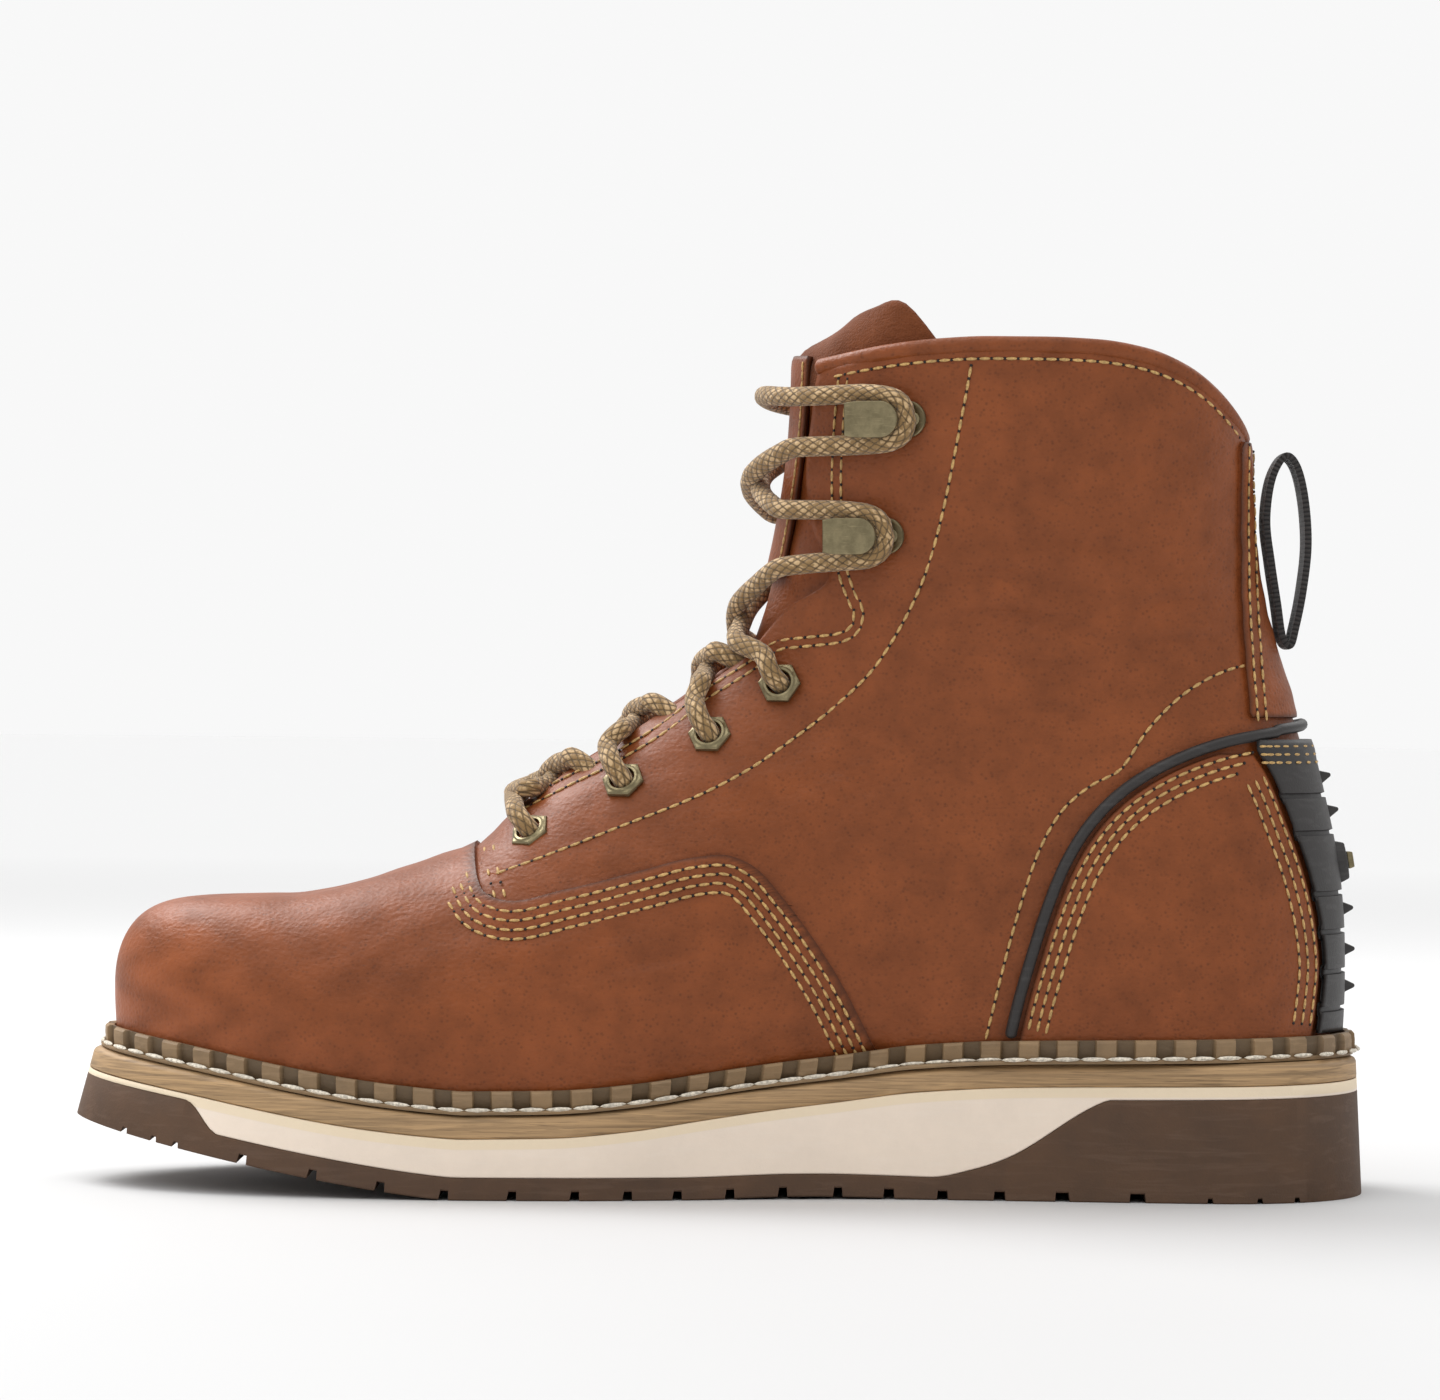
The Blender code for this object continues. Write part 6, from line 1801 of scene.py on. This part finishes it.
class TongueMaker(bpy.types.Operator):
    """Padded tongue with its suede top, and the leather patch on its front"""

    bl_idname = "boot.tongue"
    bl_label = "Tongue"

    def execute(self, context):
        grid, normal, lifted, shares = tongue_surface()
        flat = TONGUE_SINK * (1 - shares**2)
        outer = grid - normal * (UNDER_WALL + flat)[None, :, None]
        for row, share in enumerate(np.linspace(1, 0, 7)):
            outer[row] -= normal[row] * (1.2 * MM * share)
        pad = TONGUE_EDGE + (TONGUE_PAD - TONGUE_EDGE) * (1 - shares**3)
        inner = outer - normal * pad[None, :, None]
        top_outer = lifted - normal[-1] * (UNDER_WALL + flat)[:, None]
        top_inner = top_outer - normal[-1] * (0.7 * pad)[:, None]
        outer = finer_grid(np.concatenate([outer, top_outer[None]]), 6, 5)
        inner = finer_grid(np.concatenate([inner, top_inner[None]]), 6, 5)
        x, y, z = np.moveaxis(outer, -1, 0)
        fold = 0.35 * MM * np.sin(z * 330 + 2 * np.sin(y * 160)) * np.sin(y * 210 + x * 90)
        fold[:4] = 0
        outer = outer + fold[..., None] * (-1, 0, 0.3)
        loops = np.concatenate([outer, inner[:, ::-1], outer[:, :1]], axis=1)
        middle = (outer + inner) / 2
        spine = np.concatenate([middle, middle[:, ::-1], middle[:, :1]], axis=1)
        up = unit(middle[-1] - middle[-3])
        up = np.concatenate([up, up[::-1], up[:1]])
        rows = list(loops)
        for angle in np.linspace(0, math.pi / 2, 6)[1:]:
            ring = spine[-1] + (loops[-1] - spine[-1]) * math.cos(angle)
            rows.append(ring + up * math.sin(angle) * 1.6 * MM)
        rows.insert(0, spine[0])
        work = welded(sheet(np.array(rows)), LOOSE_WELD)
        border = collar_line(0.05 * SOLE_LENGTH) - 4 * MM
        for face in work.faces:
            face.material_index = int(face.calc_center_median().z > border)
        materials = [MADE["leather"], MADE["suede"]]
        tongue = finished("tongue_body", work, materials, "tongue_leather", ("tongue",), 70)
        self.patch(grid, normal, shares)
        return {"FINISHED"}

    def patch(self, grid, normal, shares):
        """Leather patch on the front of the tongue, its edges rounded, and its two rows of stitches."""
        middle = slice(len(shares) // 2 - 2, len(shares) // 2 + 3)
        sunk = (UNDER_WALL + TONGUE_SINK * (1 - shares**2))[middle, None]
        away = normal[-5:, middle]
        face = grid[-5:, middle] - away * sunk + away * (1.5 * GAP + PATCH_THICKNESS)
        face = finer_grid(face, 8, 7)
        rows, columns = face.shape[:2]
        down = np.minimum(np.arange(rows), np.arange(rows)[::-1])[:, None]
        across = np.minimum(np.arange(columns), np.arange(columns)[::-1])[None, :]
        near = np.minimum(down, across)
        soft = 0.5 * MM * (1 - np.clip(near / 2, 0, 1)) ** 2
        face = face - last_normal(face) * soft[..., None]
        work = facing_out(sheet(face))
        edge = work.verts.layers.float.new("edge")
        work.verts.ensure_lookup_table()
        for corner, far in zip(work.verts, near.reshape(-1)):
            corner[edge] = 1.0 if far == 0 else 0.25 if far == 1 else 0.0
        piece = finished("patch_leather", work, [MADE["leather"]], "tongue_leather", ("tongue_patch",))
        with_wall(piece, PATCH_THICKNESS)
        threads = bmesh.new()
        for column in (2, columns - 3):
            path = even_path(face[2:-2, column], 22)
            for point, way, up in zip(path, np.gradient(path, axis=0), last_normal(path)):
                add_stitch(threads, point + up * 0.1 * MM, way, up, *SMALL_STITCH)
        finished("patch_stitches", threads, [MADE["thread"]])


def fitting_frame(x, z, side):
    """A frame on the upper's face at a side view place, its X towards the heel and its Z outward."""
    point = on_upper(x, z, side)
    normal = Vector(last_normal(point))
    along = Vector((0, 0, 1)).cross(normal)
    if along.x < 0:
        along = -along
    along.normalize()
    up = normal.cross(along)
    turn = Matrix((along, up, normal)).transposed().to_4x4()
    return Matrix.Translation(Vector(point)) @ turn


class FittingMaker(bpy.types.Operator):
    """Hexagonal eyelets and speed hooks of aged brass"""

    bl_idname = "boot.fittings"
    bl_label = "Eyelets and hooks"

    def execute(self, context):
        for side, name in ((-1, "inner"), (1, "outer")):
            for number, (x, z) in enumerate(seen(EYELETS)):
                self.eyelet(x, z, side, f"eyelet_{name}_{number + 1}")
            for number, (x, z) in enumerate(seen(HOOKS)):
                self.hook(x, z, side, f"hook_{name}_{number + 1}")
        return {"FINISHED"}

    def seat(self, x, z, side, node_name, middle_height):
        """The frame of a fitting, at the height over the leather at which its solid stands."""
        place = fitting_frame(x, z, side)
        low, high = (Vector(corner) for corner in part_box(node_name))
        centre = (low + high) / 2 - Vector((0, SIDEWAYS, 0))
        local = place.inverted() @ centre
        return place @ Matrix.Translation((0, 0, local.z - middle_height))

    def eyelet(self, x, z, side, node_name):
        """A hexagonal ring, round inside, with its inner edge rolled in."""
        place = self.seat(x, z, side, node_name, EYELET_THICKNESS / 2)
        turn = np.linspace(0, 2 * math.pi, 73)
        hexagon = EYELET_RADIUS * math.cos(math.pi / 6) / np.cos(turn % (math.pi / 3) - math.pi / 6)
        high = EYELET_THICKNESS
        profile = (
            (0, 0, -1.2 * MM), (0, 0, high * 0.9), (0, 0.25 * MM, high * 1.22),
            (0, 0.75 * MM, high * 1.25), (0, 1.15 * MM, high * 0.98), (1, -0.55 * MM, high * 0.95),
            (1, -0.12 * MM, high * 0.72), (1, 0, high * 0.4), (1, 0, 0), (0, 1.0 * MM, 0),
            (0, 0, -1.2 * MM),
        )
        rows = []
        for share, step, up in profile:
            radius = EYELET_HOLE + (hexagon - EYELET_HOLE) * share + step
            level = np.full(len(turn), up)
            rows.append(np.column_stack([radius * np.cos(turn), radius * np.sin(turn), level]))
        work = welded(sheet(np.array(rows)))
        bmesh.ops.transform(work, matrix=place, verts=work.verts)
        name = node_name.replace("eyelet", "ring")
        finished(name, work, [MADE["brass"]], "aged_brass", (node_name,), 25)

    def hook(self, x, z, side, node_name):
        """A speed hook: base strap with its rivet, neck and plate."""
        plate = HOOK_PLATE + HOOK_GAP
        place = self.seat(x, z, side, node_name, (plate + HOOK_PLATE) / 2)
        work = bmesh.new()
        foot, top = HOOK_PLATE / 2, plate + HOOK_PLATE / 2
        join(work, self.strap([(-0.2 * HOOK_LENGTH, foot), (0.66 * HOOK_LENGTH, foot)], (0.5, 1.0)))
        neck = [(-0.04 * HOOK_LENGTH, foot), (0.0, top * 0.5), (-0.04 * HOOK_LENGTH, top)]
        join(work, self.strap(neck, (0.0, 0.0)))
        join(work, self.strap([(-0.62 * HOOK_LENGTH, top), (0.33 * HOOK_LENGTH, top)], (0.45, 1.0)))
        rivet = bmesh.new()
        bmesh.ops.create_uvsphere(rivet, u_segments=16, v_segments=8, radius=1.9 * MM)
        bmesh.ops.scale(rivet, vec=(1, 1, 0.45), verts=rivet.verts)
        bmesh.ops.translate(rivet, vec=(0.44 * HOOK_LENGTH, 0, HOOK_PLATE), verts=rivet.verts)
        join(work, rivet)
        bmesh.ops.transform(work, matrix=place, verts=work.verts)
        name = node_name.replace("hook", "speed_hook")
        finished(name, work, [MADE["brass"]], "aged_brass", (node_name,), 30)

    def strap(self, path, rounded):
        """A bent plate with rounded ends: its middle line from the side, and how round each end is."""
        path = np.array(path, float)
        length = path_length(path)
        half = HOOK_WIDTH / 2
        ends = np.sin(np.linspace(0, math.pi / 2, 9)) * half
        along = {*(half - ends), *np.linspace(half, length - half, 9), *(length - half + ends)}
        along = np.clip(np.array(sorted(along)), 0, length)
        smooth = even_path(path, 60)
        even = np.linspace(0, length, 60)
        u, v = (np.interp(along, even, axis) for axis in smooth.T)
        from_start = np.clip((half - along) / half, 0, 1)
        from_end = np.clip((along - length + half) / half, 0, 1)
        wide = half * np.sqrt(np.clip(1 - (from_start * rounded[0]) ** 2, 0.02, 1))
        wide *= np.sqrt(np.clip(1 - (from_end * rounded[1]) ** 2, 0.02, 1))
        across = np.linspace(-1, 1, 9)
        rows = [[(a, w * c, b) for c in across] for a, b, w in zip(u, v, wide)]
        work = sheet(np.array(rows))
        bmesh.ops.recalc_face_normals(work, faces=work.faces)
        bmesh.ops.solidify(work, geom=work.faces, thickness=HOOK_PLATE * 0.92)
        bmesh.ops.recalc_face_normals(work, faces=work.faces)
        rim = [e for e in work.edges if len(e.link_faces) == 2 and e.calc_face_angle(0) > 1.0]
        bmesh.ops.bevel(
            work, geom=rim, offset=0.22 * MM, segments=2, profile=0.5, affect="EDGES", material=-1
        )
        return work


class LaceMaker(bpy.types.Operator):
    """The lace from its lowest eyelets over the tongue and round the hooks"""

    bl_idname = "boot.lace"
    bl_label = "Lace"

    def execute(self, context):
        radius = sizes().lace / 2
        paths = []
        fittings = seen((*EYELETS, *HOOKS))
        last = len(fittings) - 1
        for low in range(last):
            for side in (-1, 1):
                paths.append(self.strand(fittings, low, side, radius))
        paths.append(self.bar(fittings, last, radius))
        work = rods(paths, radius, 14, 0.92)
        nodes = [f"lace_cross_{k}" for k in range(1, last + 1)] + ["lace_top_bar"]
        finished("lace", work, [MADE["lace"]], "lace_cord", nodes, 70)
        return {"FINISHED"}

    def strand(self, fittings, low, side, radius):
        """One strand from a fitting over the tongue to the next fitting of the other side."""
        eyelets = len(EYELETS)
        x, z = fittings[low]
        end_x, end_z = fittings[low + 1]
        start = on_upper(x, z, side, EYELET_THICKNESS + radius + 3 * GAP)
        end = on_upper(end_x, end_z, -side, EYELET_THICKNESS + radius + 3 * GAP)
        dives = low + 1 < eyelets
        share = np.linspace(0.17, 0.73 if dives else 0.83, 12)[:, None]
        rest = settle(start + (end - start) * share, free=(1, 0, int(dives)))
        middle = np.sin(math.pi * share)
        raised = 0.4 * MM if side < 0 else 1.12 * radius
        clear = radius + 2.5 * GAP + EYELET_THICKNESS * (np.abs(share - 0.5) * 2) ** 3
        sunk = WALL + TONGUE_SINK if low < eyelets else 0.5 * WALL
        clear = clear - sunk * np.clip((middle - 0.62) / 0.3, 0, 1)
        over = rest + last_normal(rest) * (clear + raised * middle**2)
        if low < eyelets:
            points = [
                on_upper(x, z, side, -1.0 * MM),
                on_upper(x, z, side, EYELET_THICKNESS + 0.3 * MM),
                on_upper(x - 1.5 * MM, z + 1.8 * MM, side, EYELET_THICKNESS + radius * 0.95),
                on_upper(x - 2.6 * MM, z + 6.0 * MM, side, EYELET_THICKNESS + radius * 0.9),
            ]
        else:
            points = self.round_hook(x, z, side, radius, 1)
        points.extend(over[1:-1])
        if dives:
            under = settle(start + (end - start) * 0.86, free=(1, 0, 1))
            points.append(under - last_normal(under) * (WALL + radius))
            points.append(on_upper(end_x - 1.0 * MM, end_z, -side, -WALL - radius))
        else:
            points.extend(self.round_hook(end_x, end_z, -side, radius, -1)[::-1])
        return even_path(points, 70)

    def round_hook(self, x, z, side, radius, way):
        """Half of the lace's turn behind a hook's plate, from its middle up or down and forward."""
        turn = ((4.9, -0.3 * way, 1), (4.1, 3.3, 1), (0.6, 5.4, 0.8), (-6.0, 6.0, 0))
        high = [radius + 2 * GAP + HOOK_PLATE * share for _, _, share in turn]
        return [on_upper(x + u * MM, z + v * way * MM, side, h) for (u, v, _), h in zip(turn, high)]

    def bar(self, fittings, last, radius):
        """The strand over the tongue between the top hooks, its ends behind their plates."""
        x, z = fittings[last]
        inner, outer = (self.round_hook(x, z, side, radius, 1) for side in (-1, 1))
        start, end = inner[-1], outer[-1]
        share = np.linspace(0.12, 0.88, 10)[:, None]
        rest = settle(start + (end - start) * share, free=(1, 0, 1))
        over = rest + last_normal(rest) * (radius + 3 * GAP)
        return even_path([*inner, *over, *outer[::-1]], 80)


class SidebarPanel(bpy.types.Panel):
    """The boot's sizes and colours, and a button for each part of it"""

    bl_idname = "BOOT_PT_sidebar"
    bl_label = "Wedge sole work boot"
    bl_space_type = "VIEW_3D"
    bl_region_type = "UI"
    bl_category = "Boot"

    def draw(self, context):
        layout = self.layout
        for settings in (context.scene.boot_sizes, context.scene.boot_colours):
            box = layout.box()
            for name in settings.__annotations__:
                box.prop(settings, name)
        for maker in MAKERS:
            layout.operator(maker.bl_idname)


MAKERS = (
    StageMaker,
    LaceMaker,
    SoleMaker,
    WeltMaker,
    UpperMaker,
    SeamMaker,
    CounterMaker,
    GuardMaker,
    CollarMaker,
    TongueMaker,
    FittingMaker,
)
CLASSES = (BootSizes, BootColours, *MAKERS, SidebarPanel)


def register():
    for item in CLASSES:
        bpy.utils.register_class(item)
    bpy.types.Scene.boot_sizes = PointerProperty(type=BootSizes)
    bpy.types.Scene.boot_colours = PointerProperty(type=BootColours)


def unregister():
    del bpy.types.Scene.boot_colours
    del bpy.types.Scene.boot_sizes
    for item in reversed(CLASSES):
        bpy.utils.unregister_class(item)


def main():
    register()
    make_materials()
    for maker in MAKERS:
        group_name, operator_name = maker.bl_idname.split(".")
        getattr(getattr(bpy.ops, group_name), operator_name)()


if __name__ == "__main__":
    main()
